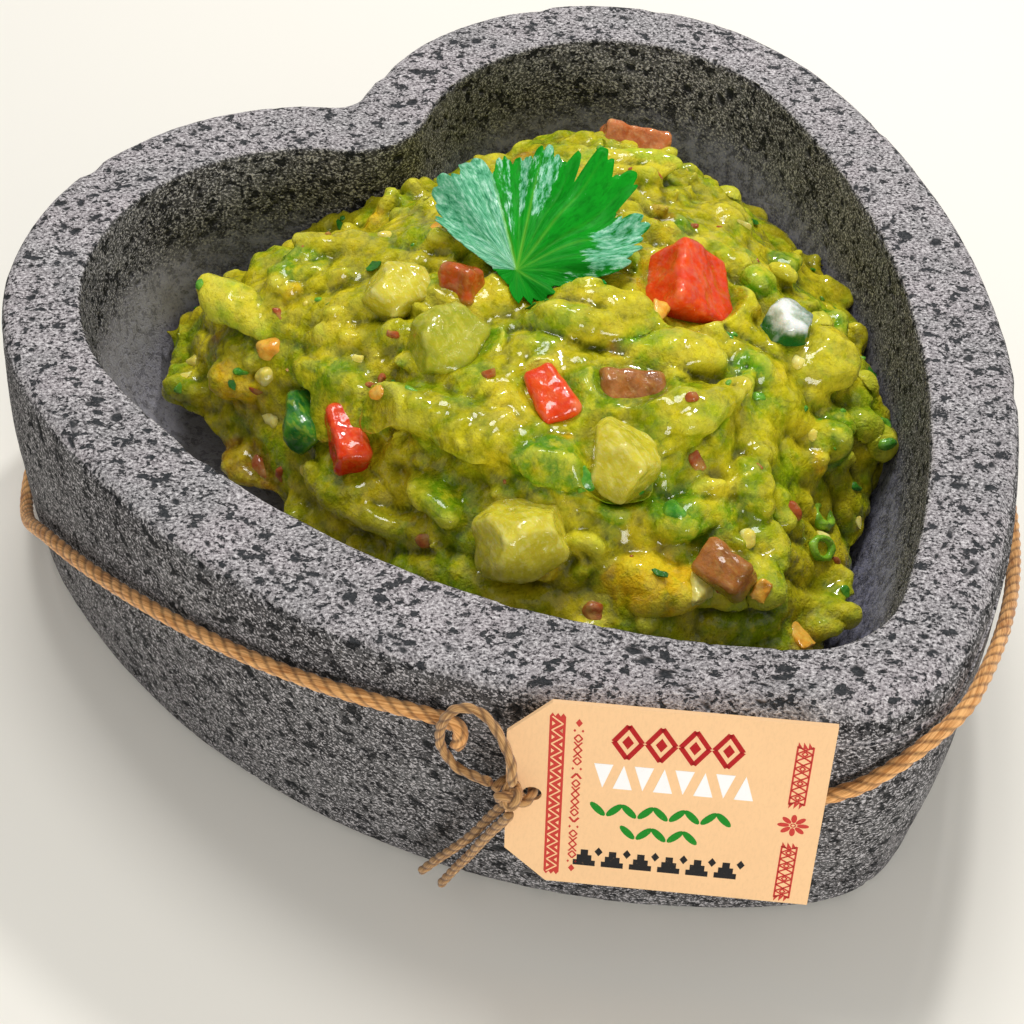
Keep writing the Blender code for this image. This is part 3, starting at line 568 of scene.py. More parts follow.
def curvature(mesh, rounds, scale):
    """From 0 in a hollow through 0.5 on the flat to 1 on a ridge."""
    points, pairs = positions(mesh), edge_pairs(mesh)
    bulge = np.einsum("ij,ij->i", points - relax(points, pairs, rounds), normals(mesh))
    return np.clip(0.5 + bulge / scale, 0.0, 1.0)


def noise_at(points, size, seed=0.0):
    """Smooth noise from -1 to 1 at each point, with lumps of a size in metres."""
    shift = Vector((seed, seed * 1.7, -seed))
    return np.array([noise.noise(Vector(point) / size + shift) for point in points])


def nearest(places, points):
    """Index of the place nearest to each point."""
    tree = kdtree.KDTree(len(places))
    for index, place in enumerate(places):
        tree.insert(place, index)
    tree.balance()
    return np.array([tree.find(point)[1] for point in points])


def solid_copy(node):
    """Merged copy of a CAD node's mesh as a bmesh."""
    bm = bmesh.new()
    bm.from_mesh(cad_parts[node].data)
    bmesh.ops.remove_doubles(bm, verts=bm.verts[:], dist=0.00001)
    return bm


def remeshed(bm, name, voxel):
    """Even skin over everything in a bmesh, overlapping solids joined into one."""
    source = bpy.data.objects.new(f"{name}_source", mesh_of(bm, name, outward=False))
    bpy.context.scene.collection.objects.link(source)
    skin = source.modifiers.new("skin", "REMESH")
    skin.mode = "VOXEL"
    skin.voxel_size = voxel
    skin.adaptivity = 0.0
    bpy.context.view_layer.update()
    evaluated = source.evaluated_get(bpy.context.evaluated_depsgraph_get())
    mesh = bpy.data.meshes.new_from_object(evaluated)
    bpy.data.objects.remove(source)
    return mesh


def wrapped_grid(points):
    """Closed surface through rows of points, each row a ring, capped at the first and last."""
    rows, count = points.shape[:2]
    bm = bmesh.new()
    bmesh.ops.create_grid(bm, x_segments=count, y_segments=rows - 1, size=0.5)
    seam = []
    for vert in bm.verts:
        column = round((vert.co.x + 0.5) * count)
        row = round((vert.co.y + 0.5) * (rows - 1))
        if column in (0, count):
            seam.append(vert)
        vert.co = points[row, column % count]
    bmesh.ops.remove_doubles(bm, verts=seam, dist=1e-7)
    bmesh.ops.holes_fill(bm, edges=[edge for edge in bm.edges if edge.is_boundary], sides=0)
    return bm


# --- Heart outline ------------------------------------------------------------------------------
def heart_outline(shape, steps=ARC_STEPS):
    """Points and outward normals round a heart in metres, clockwise from its notch."""
    spread, lobe, side, tip, tip_drop, notch = shape
    lobe_at = Vector((spread, LOBE_Y))
    tip_at = Vector((0.0, LOBE_Y - tip_drop))
    notch_at = Vector((0.0, LOBE_Y + math.sqrt((lobe + notch) ** 2 - spread ** 2)))
    line = tip_at - lobe_at
    along = ((side - lobe) ** 2 - (side - tip) ** 2 + line.length_squared) / (2.0 * line.length)
    across = math.sqrt((side - lobe) ** 2 - along ** 2)
    direction = line.normalized()
    side_at = lobe_at + direction * along + Vector((direction.y, -direction.x)) * across
    turn = [math.atan2(v.y, v.x) for v in (lobe_at - notch_at, notch_at - lobe_at, lobe_at - side_at,
                                           tip_at - side_at)]
    arcs = ((notch_at, -notch, -math.pi / 2.0, turn[0]), (lobe_at, lobe, turn[1], turn[2]),
            (side_at, side, turn[2], turn[3]), (tip_at, tip, turn[3], -math.pi / 2.0))
    points, outward = [], []
    for (centre, radius, start, end), count in zip(arcs, steps):
        angles = start + (end - start) * np.arange(count) / count
        ray = np.c_[np.cos(angles), np.sin(angles)]
        points.append(np.array(centre) + ray * abs(radius))
        outward.append(ray * math.copysign(1.0, radius))
    points.append(np.array([[0.0, tip_at.y - tip]]))
    outward.append(np.array([[0.0, -1.0]]))
    points, outward = np.vstack(points) * MM, np.vstack(outward)
    return tuple(np.vstack([half, half[-2:0:-1] * MIRROR]) for half in (points, outward))


def belt_outline(steps=240):
    """The taut way round the outer wall, clockwise from the tip and straight across the notch."""
    points, outward = heart_outline(OUTER_HEART, (16, steps, steps, steps // 4))
    half = len(points) // 2
    first = next(i for i in range(half) if outward[i, 1] > 0.0 and outward[i, 0] >= 0.0 and i >= 16)
    sides = (values[first:half + 1] for values in (points, outward))
    return tuple(np.vstack([right[::-1] * MIRROR, right]) for right in sides)


def smooth_share(value):
    value = np.clip(value, 0.0, 1.0)
    return value * value * (3.0 - 2.0 * value)


# --- Bowl ---------------------------------------------------------------------------------------
BASE_ROUND, RIM_ROUND, TIP_WEAR, LIP_ROUND = 4.0 * MM, 3.2 * MM, 4.5 * MM, 1.2 * MM
PORE_SEED = 7                         # keeps the pores the same from run to run
UNDERSIDE = 5.0 * MM                  # below this nothing counts as the hollow
FLAT_FOOT = 3.0 * MM                  # height over which pits and chips fade in from the table
CHIPPED_BAND, CHIP_DEPTH = 5.0 * MM, 1.6 * MM
WORN_BAND = 14.0 * MM                 # how far below the rim the stone can be ground
# where the painted light on the hollow's left wall starts, and how far it fades in
PAINTED_LIGHT_FROM, PAINTED_LIGHT_FADE = 34.0, 26.0     # mm to the left of the middle


def wall_swell(height, bowl):
    share = np.clip((height - BASE_ROUND) / (bowl.height - BASE_ROUND - RIM_ROUND), 0.0, 1.0)
    return bowl.wall_bulge * 4.0 * share * (1.0 - share)


def ring_of(outline, inset, height):
    points, outward = outline
    inset = np.broadcast_to(inset, len(points))
    return np.c_[points - outward * inset[:, None], np.broadcast_to(height, len(points))]


def bowl_rings(bowl):
    """Rings of the bowl from the middle of its underside, over the rim, to the hollow's floor."""
    outer, inner = heart_outline(OUTER_HEART), heart_outline(INNER_HEART)
    rim = RIM_ROUND + TIP_WEAR * smooth_share((-50.0 * MM - outer[0][:, 1]) / (45.0 * MM))
    rings = []
    for share in (0.35, 0.65, 0.85):
        rings.append(ring_of(outer, 0.0, 0.0) * np.array([share, share, 1.0]))
    for turn in np.linspace(0.0, math.pi / 2.0, 5):
        rings.append(ring_of(outer, BASE_ROUND * (1.0 - math.sin(turn)), BASE_ROUND * (1.0 - math.cos(turn))))
    wall_top = bowl.height - RIM_ROUND - TIP_WEAR
    for share in np.linspace(0.0, 1.0, 51)[1:]:
        height = BASE_ROUND + (wall_top - BASE_ROUND) * share
        rings.append(ring_of(outer, -wall_swell(height, bowl), height))
    for turn in np.linspace(0.0, math.pi / 2.0, 12):
        rings.append(ring_of(outer, rim * (1.0 - math.cos(turn)),
                             bowl.height - rim * (1.0 - math.sin(turn))))
    outside, inside = rings[-1], ring_of(inner, -LIP_ROUND, bowl.height)
    for share in np.linspace(0.0, 1.0, 18)[1:]:
        rings.append(outside + (inside - outside) * share)
    for turn in np.linspace(0.0, math.pi / 2.0, 4)[1:]:
        rings.append(ring_of(inner, -LIP_ROUND * (1.0 - math.sin(turn)),
                             bowl.height - LIP_ROUND * (1.0 - math.cos(turn))))
    top = bowl.height - LIP_ROUND
    depth = top - bowl.floor_thickness
    turns = np.r_[np.linspace(0.0, 1.02, 38)[1:], np.linspace(1.02, math.pi / 2.0, 7)[1:]]
    for turn in turns:
        rings.append(ring_of(inner, bowl.hollow_run * (1.0 - math.cos(turn)), top - depth * math.sin(turn)))
    return np.array(rings)


def pits_at(points, spacing, low, high, share):
    """How deep each point lies in the pits of porous stone, from 0 to 1."""
    depth = np.zeros(len(points))
    stretch = Vector((0.72, 0.9, 1.1))
    for i, point in enumerate(points):
        place = Vector(point) * stretch / spacing
        distances, centres = noise.voronoi(place + noise.noise_vector(place * 2.3) * 0.16)
        chance = noise.cell(centres[0] * 5.3) * 0.5 + 0.5
        if chance < share:
            radius = low + (high - low) * (noise.cell(centres[0] * 11.9) * 0.5 + 0.5)
            depth[i] = max(1.0 - (distances[0] / radius) ** 2, 0.0)
    return depth


def make_bowl(context):
    bowl = settings(context, "guac_bowl")
    mesh = mesh_of(wrapped_grid(bowl_rings(bowl)), "stone_bowl")
    points, outward = positions(mesh), normals(mesh)
    noise.seed_set(PORE_SEED)
    pits = np.maximum(pits_at(points, bowl.pore_size, 0.14, 0.34, 0.30),
                      0.7 * pits_at(points, bowl.pore_size * 0.55, 0.18, 0.40, 0.35))
    inner = smooth_share((depth_inside(points[:, 0] / MM, points[:, 1] / MM) - 0.6) / 2.0)
    inner *= points[:, 2] > UNDERSIDE
    # painted light: the left wall of the hollow is painted paler, as if lit
    painted_light = smooth_share((-points[:, 0] / MM - PAINTED_LIGHT_FROM) / PAINTED_LIGHT_FADE)
    pits *= 1.0 - 0.7 * inner
    chips = np.clip(noise_at(points, 9.0 * MM, 3.1) - 0.28, 0.0, 1.0)
    uneven = noise_at(points, 16.0 * MM, 1.3) * 0.45 + noise_at(points, 3.4 * MM, 2.9) * 0.22
    edge = np.exp(-((points[:, 2] - bowl.height) / CHIPPED_BAND) ** 2)
    push = -pits * bowl.pore_depth - chips * edge * CHIP_DEPTH + (uneven - 0.3) * 0.5 * MM
    push *= smooth_share(points[:, 2] / FLAT_FOOT)
    push_out(mesh, points, push)
    worn = smooth_share((outward[:, 2] - 0.35) / 0.5) * (points[:, 2] > bowl.height - WORN_BAND)
    for name, values in (("worn", worn), ("pit", pits), ("inner", inner), ("painted_light", painted_light)):
        paint(mesh, name, values)
    finish_piece("stone_bowl", mesh, stone_material(tuple(bowl.stone_colour)), ("bowl",), sharp=70.0)


# --- Heap ---------------------------------------------------------------------------------------
HEAP_MIDDLE, HEAP_FALL = (2.0, 16.0), (11.0, 11.0)     # crown in mm and its fall along X and Y
HEAP_SHOULDER = 30.0                                   # mm over which the heap climbs from its edge
HEAP_BOTTOM = 33.0 * MM
LEDGE_MIDDLE, LEDGE_RADIUS, LEDGE_STEP = (-2.0, -2.0), 36.0, 6.0     # step down round the upper mound
# height of the heap's edge and how far in it starts, in mm, every 30 degrees from +X
EDGE_HEIGHTS = (47, 39, 36, 59, 37, 20, 24, 42, 45, 35, 36, 48)
EDGE_INSETS = (0, 2, 3, 5, 6, 12, 7, 0, 1, 7, 7, 1)
CORE_CELLS, CORE_CELL, CORE_SUNK = (94, 96), 1.9, 3.0  # grid of the core and its depth under the heap
CHUNK_SIZES, CHUNK_SPACING = (6.0, 11.0), 0.58         # mm, and distance as a share of the sizes
BIT_SIZES, BIT_SPACING = (2.8, 5.6), 0.50
LARGE = 6.0                                            # mm from which a lump counts as large
CORE_GAP, CORE_LEAST = 0.4, 0.8                        # mm above the stone, and least thickness of the core
MASS_SUNK, MASS_HEIGHT = 1.6, 0.62                     # mm, and height as a share of the width
LUMP_HEIGHTS = ((9.5, 4.6), (4.6, 1.3), (2.1, 0.24))   # size and height in mm of the lumps in the surface
LUMP_LEVEL = 0.16                                      # mean of the folded noise, so that lumps stay centred
SMEAR_BEARING, SMEAR = 35.0, 0.35                      # the largest lumps are drawn out along this bearing
POCKET_EDGE, POCKET_DEPTH, POCKET_RISE = 0.80, 0.60, 26.0     # room round each cut piece
LEAF_ROOM, LEAF_SLOPE, LEAF_AREA = 1.3, 1.6, 45.0      # mm under the leaf, rise beyond its rim, mm of reach
OVERSHOOT = 0.15                                       # share of the mash above that room that stays
TRIES = 40                                             # spots tried for each one wanted


def by_direction(values, x, y):
    """Values of a list of 12 that goes round the middle, anticlockwise from +X, blended between them."""
    values = np.array(values, float)
    turn = np.degrees(np.arctan2(y, x)) % 360.0 / 30.0
    low = turn.astype(int)
    share = smooth_share(turn - low)
    return values[low % 12] * (1.0 - share) + values[(low + 1) % 12] * share


def depth_inside(x, y):
    """Distance in mm from each point to the hollow's outline, below zero outside it."""
    outline = heart_outline(INNER_HEART, (6, 40, 24, 8))[0] / MM
    ends = np.roll(outline, -1, axis=0)
    line = ends - outline
    dx, dy = x[:, None] - outline[:, 0], y[:, None] - outline[:, 1]
    share = np.clip((dx * line[:, 0] + dy * line[:, 1]) / (line ** 2).sum(1), 0.0, 1.0)
    distance = np.hypot(dx - share * line[:, 0], dy - share * line[:, 1]).min(1)
    crossed = (outline[:, 1] > y[:, None]) != (ends[:, 1] > y[:, None])
    safe = np.where(line[:, 1] == 0.0, 1.0, line[:, 1])
    left = dx < line[:, 0] * dy / safe
    inside = (crossed & left).sum(1) % 2 == 1
    return np.where(inside, distance, -distance)


def heap_form(x, y, top):
    """Height in mm of the heap before its chunks, and how far inside the hollow each point lies."""
    depth = depth_inside(x, y)
    crown = top - HEAP_FALL[0] * ((x - HEAP_MIDDLE[0]) / 50.0) ** 2
    crown -= HEAP_FALL[1] * ((y - HEAP_MIDDLE[1]) / 70.0) ** 2
    edge = by_direction(EDGE_HEIGHTS, x, y)
    share = np.clip((depth - by_direction(EDGE_INSETS, x, y)) / HEAP_SHOULDER, 0.0, 1.0)
    ledge_x, ledge_y = x - LEDGE_MIDDLE[0], y - LEDGE_MIDDLE[1]
    ledge = smooth_share((LEDGE_RADIUS - np.hypot(ledge_x, ledge_y)) / 4.0 + 0.5) - 0.5
    ledge *= smooth_share(-(ledge_x + ledge_y) / 30.0) * smooth_share(depth / 12.0)
    return edge + (crown - edge) * np.sin(share * math.pi / 2.0) + ledge * LEDGE_STEP, depth


def form_at(x, y, heap):
    """Height and depth of heap_form at one place."""
    form, depth = heap_form(np.array([float(x)]), np.array([float(y)]), heap.top / MM)
    return form[0], depth[0]


def hollow_height(depth, bowl):
    """Height in mm of the hollow's wall or floor at a distance in from its outline."""
    top = (bowl.height - LIP_ROUND) / MM
    floor = bowl.floor_thickness / MM
    turn = np.arccos(np.clip(1.0 - np.maximum(depth, 0.0) / (bowl.hollow_run / MM), 0.0, 1.0))
    return np.where(depth < 0.0, 1000.0, top - (top - floor) * np.sin(turn))


def heap_core(bm, heap, bowl):
    """Low core under the chunks, from the hollow up to a little under the heap's top."""
    size = [cells * CORE_CELL * MM for cells in CORE_CELLS]
    bmesh.ops.create_grid(bm, x_segments=CORE_CELLS[0], y_segments=CORE_CELLS[1], size=0.5,
                          matrix=Matrix.Diagonal((*size, 1.0, 1.0)))
    spots = np.array([vert.co for vert in bm.verts]) / MM
    form, depth = heap_form(spots[:, 0], spots[:, 1], heap.top / MM)
    under = hollow_height(depth, bowl) + CORE_GAP
    for vert, height, low in zip(bm.verts, form - CORE_SUNK, under):
        vert.co.z = height * MM
        vert.tag = height > low + CORE_LEAST
    bmesh.ops.delete(bm, geom=[face for face in bm.faces if not all(v.tag for v in face.verts)],
                     context="FACES")
    bmesh.ops.delete(bm, geom=[v for v in bm.verts if not v.link_faces], context="VERTS")
    samples = [(vert.co.copy(), 0) for vert in bm.verts]
    lower = bmesh.ops.extrude_face_region(bm, geom=bm.faces[:])
    for item in lower["geom"]:
        if isinstance(item, bmesh.types.BMVert):
            item.co.z = HEAP_BOTTOM
    return samples


def random_vector(pick, *limits):
    """Three draws as a vector."""
    return Vector((pick(*limits), pick(*limits), pick(*limits)))


def angular_chunk(bm, centre, size, turn, draw):
    """Cut chunk: the hull of points near a box's faces."""
    points = []
    for _ in range(draw.randint(9, 13)):
        point = random_vector(draw.uniform, -1, 1)
        axis = draw.randrange(3)
        point[axis] = math.copysign(1.0, point[axis])
        points.append(bm.verts.new(centre + turn @ Vector(a * b * 0.5 for a, b in zip(point, size))))
    hull = bmesh.ops.convex_hull(bm, input=points)
    inner = [v for v in hull["geom_interior"] + hull["geom_unused"] if isinstance(v, bmesh.types.BMVert)]
    inner = list(dict.fromkeys(inner))
    kept = [v for v in points if v not in inner]
    bmesh.ops.delete(bm, geom=inner, context="VERTS")
    return kept


def soft_lump(bm, centre, size, turn, draw, subdivisions):
    """Mashed lump: a ball pushed in and out of shape."""
    matrix = Matrix.Translation(centre) @ turn.to_4x4() @ Matrix.Diagonal((*size, 1.0))
    made = bmesh.ops.create_icosphere(bm, subdivisions=subdivisions, radius=0.5, matrix=matrix)
    shift = random_vector(draw.uniform, 0, 50)
    reach = max(size)
    for vert in made["verts"]:
        offset = vert.co - centre
        vert.co = centre + offset * (1.0 + 0.38 * noise.noise(offset / reach * 2.4 + shift))
    return made["verts"]


# larger folds and lumps of the mash: middle, length and width in mm, bearing of the length, tone
MASSES = ((-2, -1, 31, 17, -12, "light"), (-43, 20, 27, 17, -79, "moss"), (-49, 48, 27, 8, -71, "pale"),
          (-56, 43, 14, 12, -91, "amber"), (-61, 55, 12, 12, -115, "olive"), (-35, -6, 32, 13, -66, "olive"),
          (-21, -29, 23, 10, -42, "green"), (7, -17, 31, 13, -16, "light"), (4, -30, 23, 11, -5, "olive"),
          (40, -26, 20, 15, -36, "light"), (34, -38, 14, 11, -23, "green"), (-19, -50, 19, 11, -41, "amber"),
          (-6, -57, 11, 8, -106, "pale"), (3, -56, 21, 9, -120, "moss"), (11, -66, 16, 10, -19, "light"),
          (-6, -45, 17, 10, -28, "green"), (9, -43, 16, 11, -112, "olive"), (-51, 2, 33, 12, -78, "olive"),
          (-42, -14, 17, 11, -73, "moss"), (-60, 31, 16, 9, -87, "brown"), (-23, 48, 25, 9, -37, "light"),
          (-36, 51, 13, 9, -13, "green"), (22, 61, 14, 7, -66, "pale"), (39, 41, 27, 9, -28, "pale"),
          (52, 19, 17, 10, -55, "light"), (57, 4, 10, 10, -79, "green"), (56, -14, 8, 7, -76, "green"),
          (49, -39, 7, 9, -48, "moss"), (27, -9, 18, 10, -16, "olive"), (-4, -21, 27, 8, -44, "moss"),
          (-27, -36, 14, 9, -60, "light"), (25, 30, 24, 11, -50, "light"), (20, -60, 12, 8, -50, "olive"))


def random_turn(draw):
    axis = random_vector(draw.gauss, 0, 1).normalized()
    return Matrix.Rotation(draw.uniform(0.0, 2.0 * math.pi), 3, axis)


def scatter(count, sizes, spacing, heap, bowl, draw):
    """Random spots on the heap, none closer to another than a share of their sizes."""
    spots = []
    for _ in range(count * TRIES):
        if len(spots) >= count:
            break
        x, y = draw.uniform(-80.0, 80.0), draw.uniform(-72.0, 90.0)
        size = sizes[0] + (sizes[1] - sizes[0]) * draw.random() ** 1.5
        if any(math.hypot(x - a, y - b) < spacing * (size + s) * 0.5 for a, b, s in spots):
            continue
        form, depth = form_at(x, y, heap)
        if form < hollow_height(depth, bowl) + size * 0.35 or depth < 5.5 - size * 0.3:
            continue
        spots.append((x, y, size))
    return spots


def heap_tones(heap):
    """Tones of the mash and the share of the random lumps that takes each."""
    flesh, pale, green = (np.array(c) for c in (heap.flesh_colour, heap.pale_colour, heap.green_colour))
    return {"olive": (flesh, 28), "light": (flesh * 0.55 + pale * 0.45, 24), "pale": (pale, 10),
            "moss": (flesh * 0.5 + green * 0.5, 20), "green": (green, 10),
            "amber": (flesh * (1.75, 1.15, 1.6), 6), "brown": (flesh * (0.95, 0.55, 1.5), 3)}


def room_for_toppings(points, heap):
    """How high in metres the mash may stand round each cut piece and under the leaf."""
    x, y = points[:, 0], points[:, 1]
    form = heap_form(x / MM, y / MM, heap.top / MM)[0] * MM
    limit = np.full(len(points), 1.0)
    for low, high in topping_boxes():
        middle, half = (low + high) * 0.5, (high - low) * 0.5
        here = form_at(middle.x / MM, middle.y / MM, heap)[0] * MM
        ring = np.hypot((x - middle.x) / half.x, (y - middle.y) / half.y) - POCKET_EDGE
        away = np.maximum(ring, 0.0) * min(half.x, half.y)
        sunk = low.z + (high.z - low.z) * POCKET_DEPTH - here
        limit = np.minimum(limit, form + sunk + away ** 1.5 * POCKET_RISE)
    reach, bearing = leaf_polar(points)
    near = reach < LEAF_AREA
    rim = leaf_reach(bearing[near])
    under = LEAF_JUNCTION.z / MM + leaf_shape(bearing[near], np.minimum(reach[near], rim)) - LEAF_ROOM
    limit[near] = np.minimum(limit[near], (under + np.maximum(reach[near] - rim, 0.0) * LEAF_SLOPE) * MM)
    return limit


def smaller_parts(bm):
    """Vertices of every connected part but the largest."""
    parts, left = [], set(bm.verts)
    while left:
        part, todo = set(), [left.pop()]
        while todo:
            vert = todo.pop()
            part.add(vert)
            for edge in vert.link_edges:
                other = edge.other_vert(vert)
                if other in left:
                    left.remove(other)
                    todo.append(other)
        parts.append(part)
    parts.sort(key=len)
    return [vert for part in parts[:-1] for vert in part]


def flatten_bottom(mesh):
    """One face in place of the many on the flat underside, and no closed hollows left inside."""
    bm = bmesh.new()
    bm.from_mesh(mesh)
    limit = HEAP_BOTTOM + 1.0 * MM
    bmesh.ops.delete(bm, geom=[f for f in bm.faces if all(v.co.z < limit for v in f.verts)], context="FACES")
    bmesh.ops.delete(bm, geom=smaller_parts(bm), context="VERTS")
    bmesh.ops.holes_fill(bm, edges=[edge for edge in bm.edges if edge.is_boundary], sides=0)
    bm.to_mesh(mesh)
    bm.free()


def surface_lumps(points):
    """Height in mm of the folds and lumps laid on the mash's surface."""
    smear = Matrix.Rotation(math.radians(SMEAR_BEARING), 3, "Z") @ Matrix.Diagonal((1.0, SMEAR, 1.0))
    (fold, fold_height), (lump, lump_height), (grain, grain_height) = LUMP_HEIGHTS
    lumps = (np.abs(noise_at(points @ np.array(smear), fold * MM, 4.0)) - LUMP_LEVEL) * fold_height
    lumps += (np.abs(noise_at(points, lump * MM, 6.0)) - LUMP_LEVEL) * lump_height
    return lumps + noise_at(points, grain * MM, 9.0) * grain_height


def lump_frame(x, y, size, heap, draw):
    """Size, middle and turn of a chunk or soft lump that lies half sunk in the heap."""
    height = form_at(x, y, heap)[0] - 1.2
    turn = random_turn(draw)
    shape = Vector((size, size * draw.uniform(0.65, 0.95), size * draw.uniform(0.5, 0.8))) * MM
    centre = Vector((x, y, height - size * draw.uniform(0.16, 0.42))) * MM
    if size < LARGE:
        centre.z += draw.uniform(0.0, 0.7) * MM
    return shape, centre, turn


def make_heap(context):
    heap, bowl = settings(context, "guac_heap"), settings(context, "guac_bowl")
    draw = random.Random(heap.seed)
    tones = heap_tones(heap)
    colours = [tones["olive"][0]]
    bm = bmesh.new()
    samples = heap_core(bm, heap, bowl)

    def add_sample(verts, centre, tone):
        colours.append(tone * draw.uniform(0.88, 1.12))
        for vert in verts:
            samples.append((vert.co.copy(), len(colours) - 1))
            samples.append((vert.co.lerp(centre, 0.4), len(colours) - 1))

    for x, y, length, width, bearing, tone in MASSES:
        centre = Vector((x, y, form_at(x, y, heap)[0] - MASS_SUNK - width * 0.16)) * MM
        turn = Matrix.Rotation(math.radians(bearing + draw.uniform(-8, 8)), 3, "Z")
        turn = turn @ Matrix.Rotation(draw.uniform(-0.18, 0.18), 3, "Y")
        shape = Vector((length, width, width * MASS_HEIGHT)) * MM
        add_sample(soft_lump(bm, centre, shape, turn, draw, 4), centre, tones[tone][0])
    spots = scatter(heap.chunks, CHUNK_SIZES, CHUNK_SPACING, heap, bowl, draw)
    spots += scatter(heap.bits, BIT_SIZES, BIT_SPACING, heap, bowl, draw)
    for x, y, size in spots:
        shape, centre, turn = lump_frame(x, y, size, heap, draw)
        tone = draw.choices([t[0] for t in tones.values()], [t[1] for t in tones.values()])[0]
        if draw.random() < (0.45 if size > LARGE else 0.55):
            verts = angular_chunk(bm, centre, shape, turn, draw)
        else:
            verts = soft_lump(bm, centre, shape, turn, draw, 3 if size > LARGE else 2)
        add_sample(verts, centre, tone)
    mesh = remeshed(bm, "mash", heap.detail)
    flatten_bottom(mesh)
    pairs = edge_pairs(mesh)
    set_positions(mesh, relax(positions(mesh), pairs, 6))
    points = positions(mesh)
    points = points + normals(mesh) * (surface_lumps(points) * MM)[:, None]
    limit = room_for_toppings(points, heap)
    high = points[:, 2] > limit
    points[high, 2] = limit[high] + (points[high, 2] - limit[high]) * OVERSHOOT
    lowered = relax(high.astype(float), pairs, 3)[:, None]
    points = points + (relax(points, pairs, 4) - points) * np.clip(lowered * 1.6, 0.0, 1.0)
    set_positions(mesh, points)
    owner = [samples[index][1] for index in nearest([place for place, _ in samples], positions(mesh))]
    paint(mesh, "tone", np.clip(relax(np.array(colours)[owner], pairs, 2), 0.0, 1.0))
    # curvature maps for the painted shade in hollows and the painted highlight on ridges
    paint(mesh, "crease", curvature(mesh, 8, 1.6 * MM))
    paint(mesh, "fold", curvature(mesh, 45, 5.0 * MM))
    finish_piece("mash", mesh, mash_material(), ("guacamole",))


# --- Cut pieces -----------------------------------------------------------------------------------
FIRST_SWELL = 1.08        # the first tomato bulges out of its cut shape
SWELL_LIFT = 14.0 * MM    # rise for each unit of swell, which keeps the foot in place


def cut_piece(node, name, material, voxel, rounds, dents, swell=1.0):
    """Cut piece in the place of a CAD node: finely meshed, softened and slightly uneven."""
    mesh = remeshed(solid_copy(node), name, voxel)
    points = relax(positions(mesh), edge_pairs(mesh), rounds)
    middle = points.mean(0)
    points = middle + (points - middle) * swell + np.array([0.0, 0.0, (swell - 1.0) * SWELL_LIFT])
    set_positions(mesh, points)
    wobble = noise_at(points, 6.0 * MM, len(name)) * dents + noise_at(points, 2.0 * MM, 5.0) * dents * 0.3
    push_out(mesh, points, wobble)
    ridge = (curvature(mesh, 6, 0.8 * MM) - 0.5) * 2.0
    height = points[:, 2]
    # ridges of the piece, which its material paints paler as a painted highlight
    paint(mesh, "edge", np.clip(ridge, 0.0, 1.0))
    paint(mesh, "low", (height.max() - height) / max(np.ptp(height), MM))
    finish_piece(name, mesh, material, (node,))


def make_cut_pieces(context):
    top = settings(context, "guac_toppings")
    heap = settings(context, "guac_heap")
    ripe = tuple(top.tomato_colour)
    bright = cut_material("tomato", ripe, tinted(ripe, 1.1, 1.9, 1.6), 0.3, (1.0, 0.46, 0.20), 0.5, 0.2,
                          0.10, (0.58, 0.028, 0.004))
    soft = cut_material("soft tomato", tinted(ripe, 0.62, 1.5, 0.9), tinted(ripe, 0.42, 1.5, 0.9), 0.3,
                        (0.84, 0.48, 0.12), 0.6, 0.2, 0.15, (0.40, 0.28, 0.012))
    watery = cut_material("watery tomato", (0.66, 0.22, 0.07), (0.50, 0.11, 0.02), 0.3,
                          (0.86, 0.56, 0.26), 0.7, 0.25, 0.2, (0.42, 0.30, 0.03))
    brown = cut_material("brown tomato", (0.44, 0.16, 0.035), (0.26, 0.085, 0.010), 0.3,
                         (0.66, 0.42, 0.10), 0.6, 0.25, 0.2, (0.36, 0.28, 0.02))
    for index, kind in enumerate((bright, bright, bright, soft, watery, brown, brown), 1):
        cut_piece(f"tomato_{index}", f"tomato_die_{index}", kind, 0.42 * MM, 4, 0.9 * MM,
                  FIRST_SWELL if index == 1 else 1.0)
    flesh = cut_material("avocado flesh", tinted(heap.pale_colour, 1.12, 1.14, 1.40), (0.62, 0.52, 0.025),
                         0.3, (0.95, 0.91, 0.38), 0.8, 0.2, 0.30, (0.40, 0.36, 0.012))
    green = cut_material("green avocado flesh", (0.45, 0.43, 0.020), (0.34, 0.36, 0.010), 0.3,
                         (0.74, 0.70, 0.15), 0.6, 0.2, 0.3, (0.22, 0.26, 0.008))
    for index, kind in enumerate((flesh, flesh, green, flesh), 1):
        cut_piece(f"avocado_{index}", f"avocado_chunk_{index}", kind, 0.5 * MM, 5, 0.7 * MM)
    onion = cut_material("onion", tuple(top.onion_colour), (0.74, 0.80, 0.64), 0.25, (0.95, 0.97, 0.93), 0.7,
                         0.2, 0.0, (0.015, 0.12, 0.015), 0.27)
    cut_piece("onion", "onion_piece", onion, 0.45 * MM, 3, 0.6 * MM)
    chilli = cut_material("green chilli", tuple(top.chilli_colour), (0.02, 0.15, 0.02), 0.2,
                          (0.40, 0.50, 0.03), 0.7, 0.2, 0.4, (0.018, 0.11, 0.008))
    cut_piece("green_chilli", "chilli_piece", chilli, 0.45 * MM, 3, 0.5 * MM)


# --- Small bits on the heap -----------------------------------------------------------------------
DROP_HEIGHT = 110.0       # mm from which bits fall on the mash


def fall(start):
    """Place where a point falls on the mash and the way the surface faces there, or None."""
    hit, place, facing, _ = bpy.data.objects["mash"].ray_cast(start, Vector((0.0, 0.0, -1.0)))
    return (place, facing) if hit else None


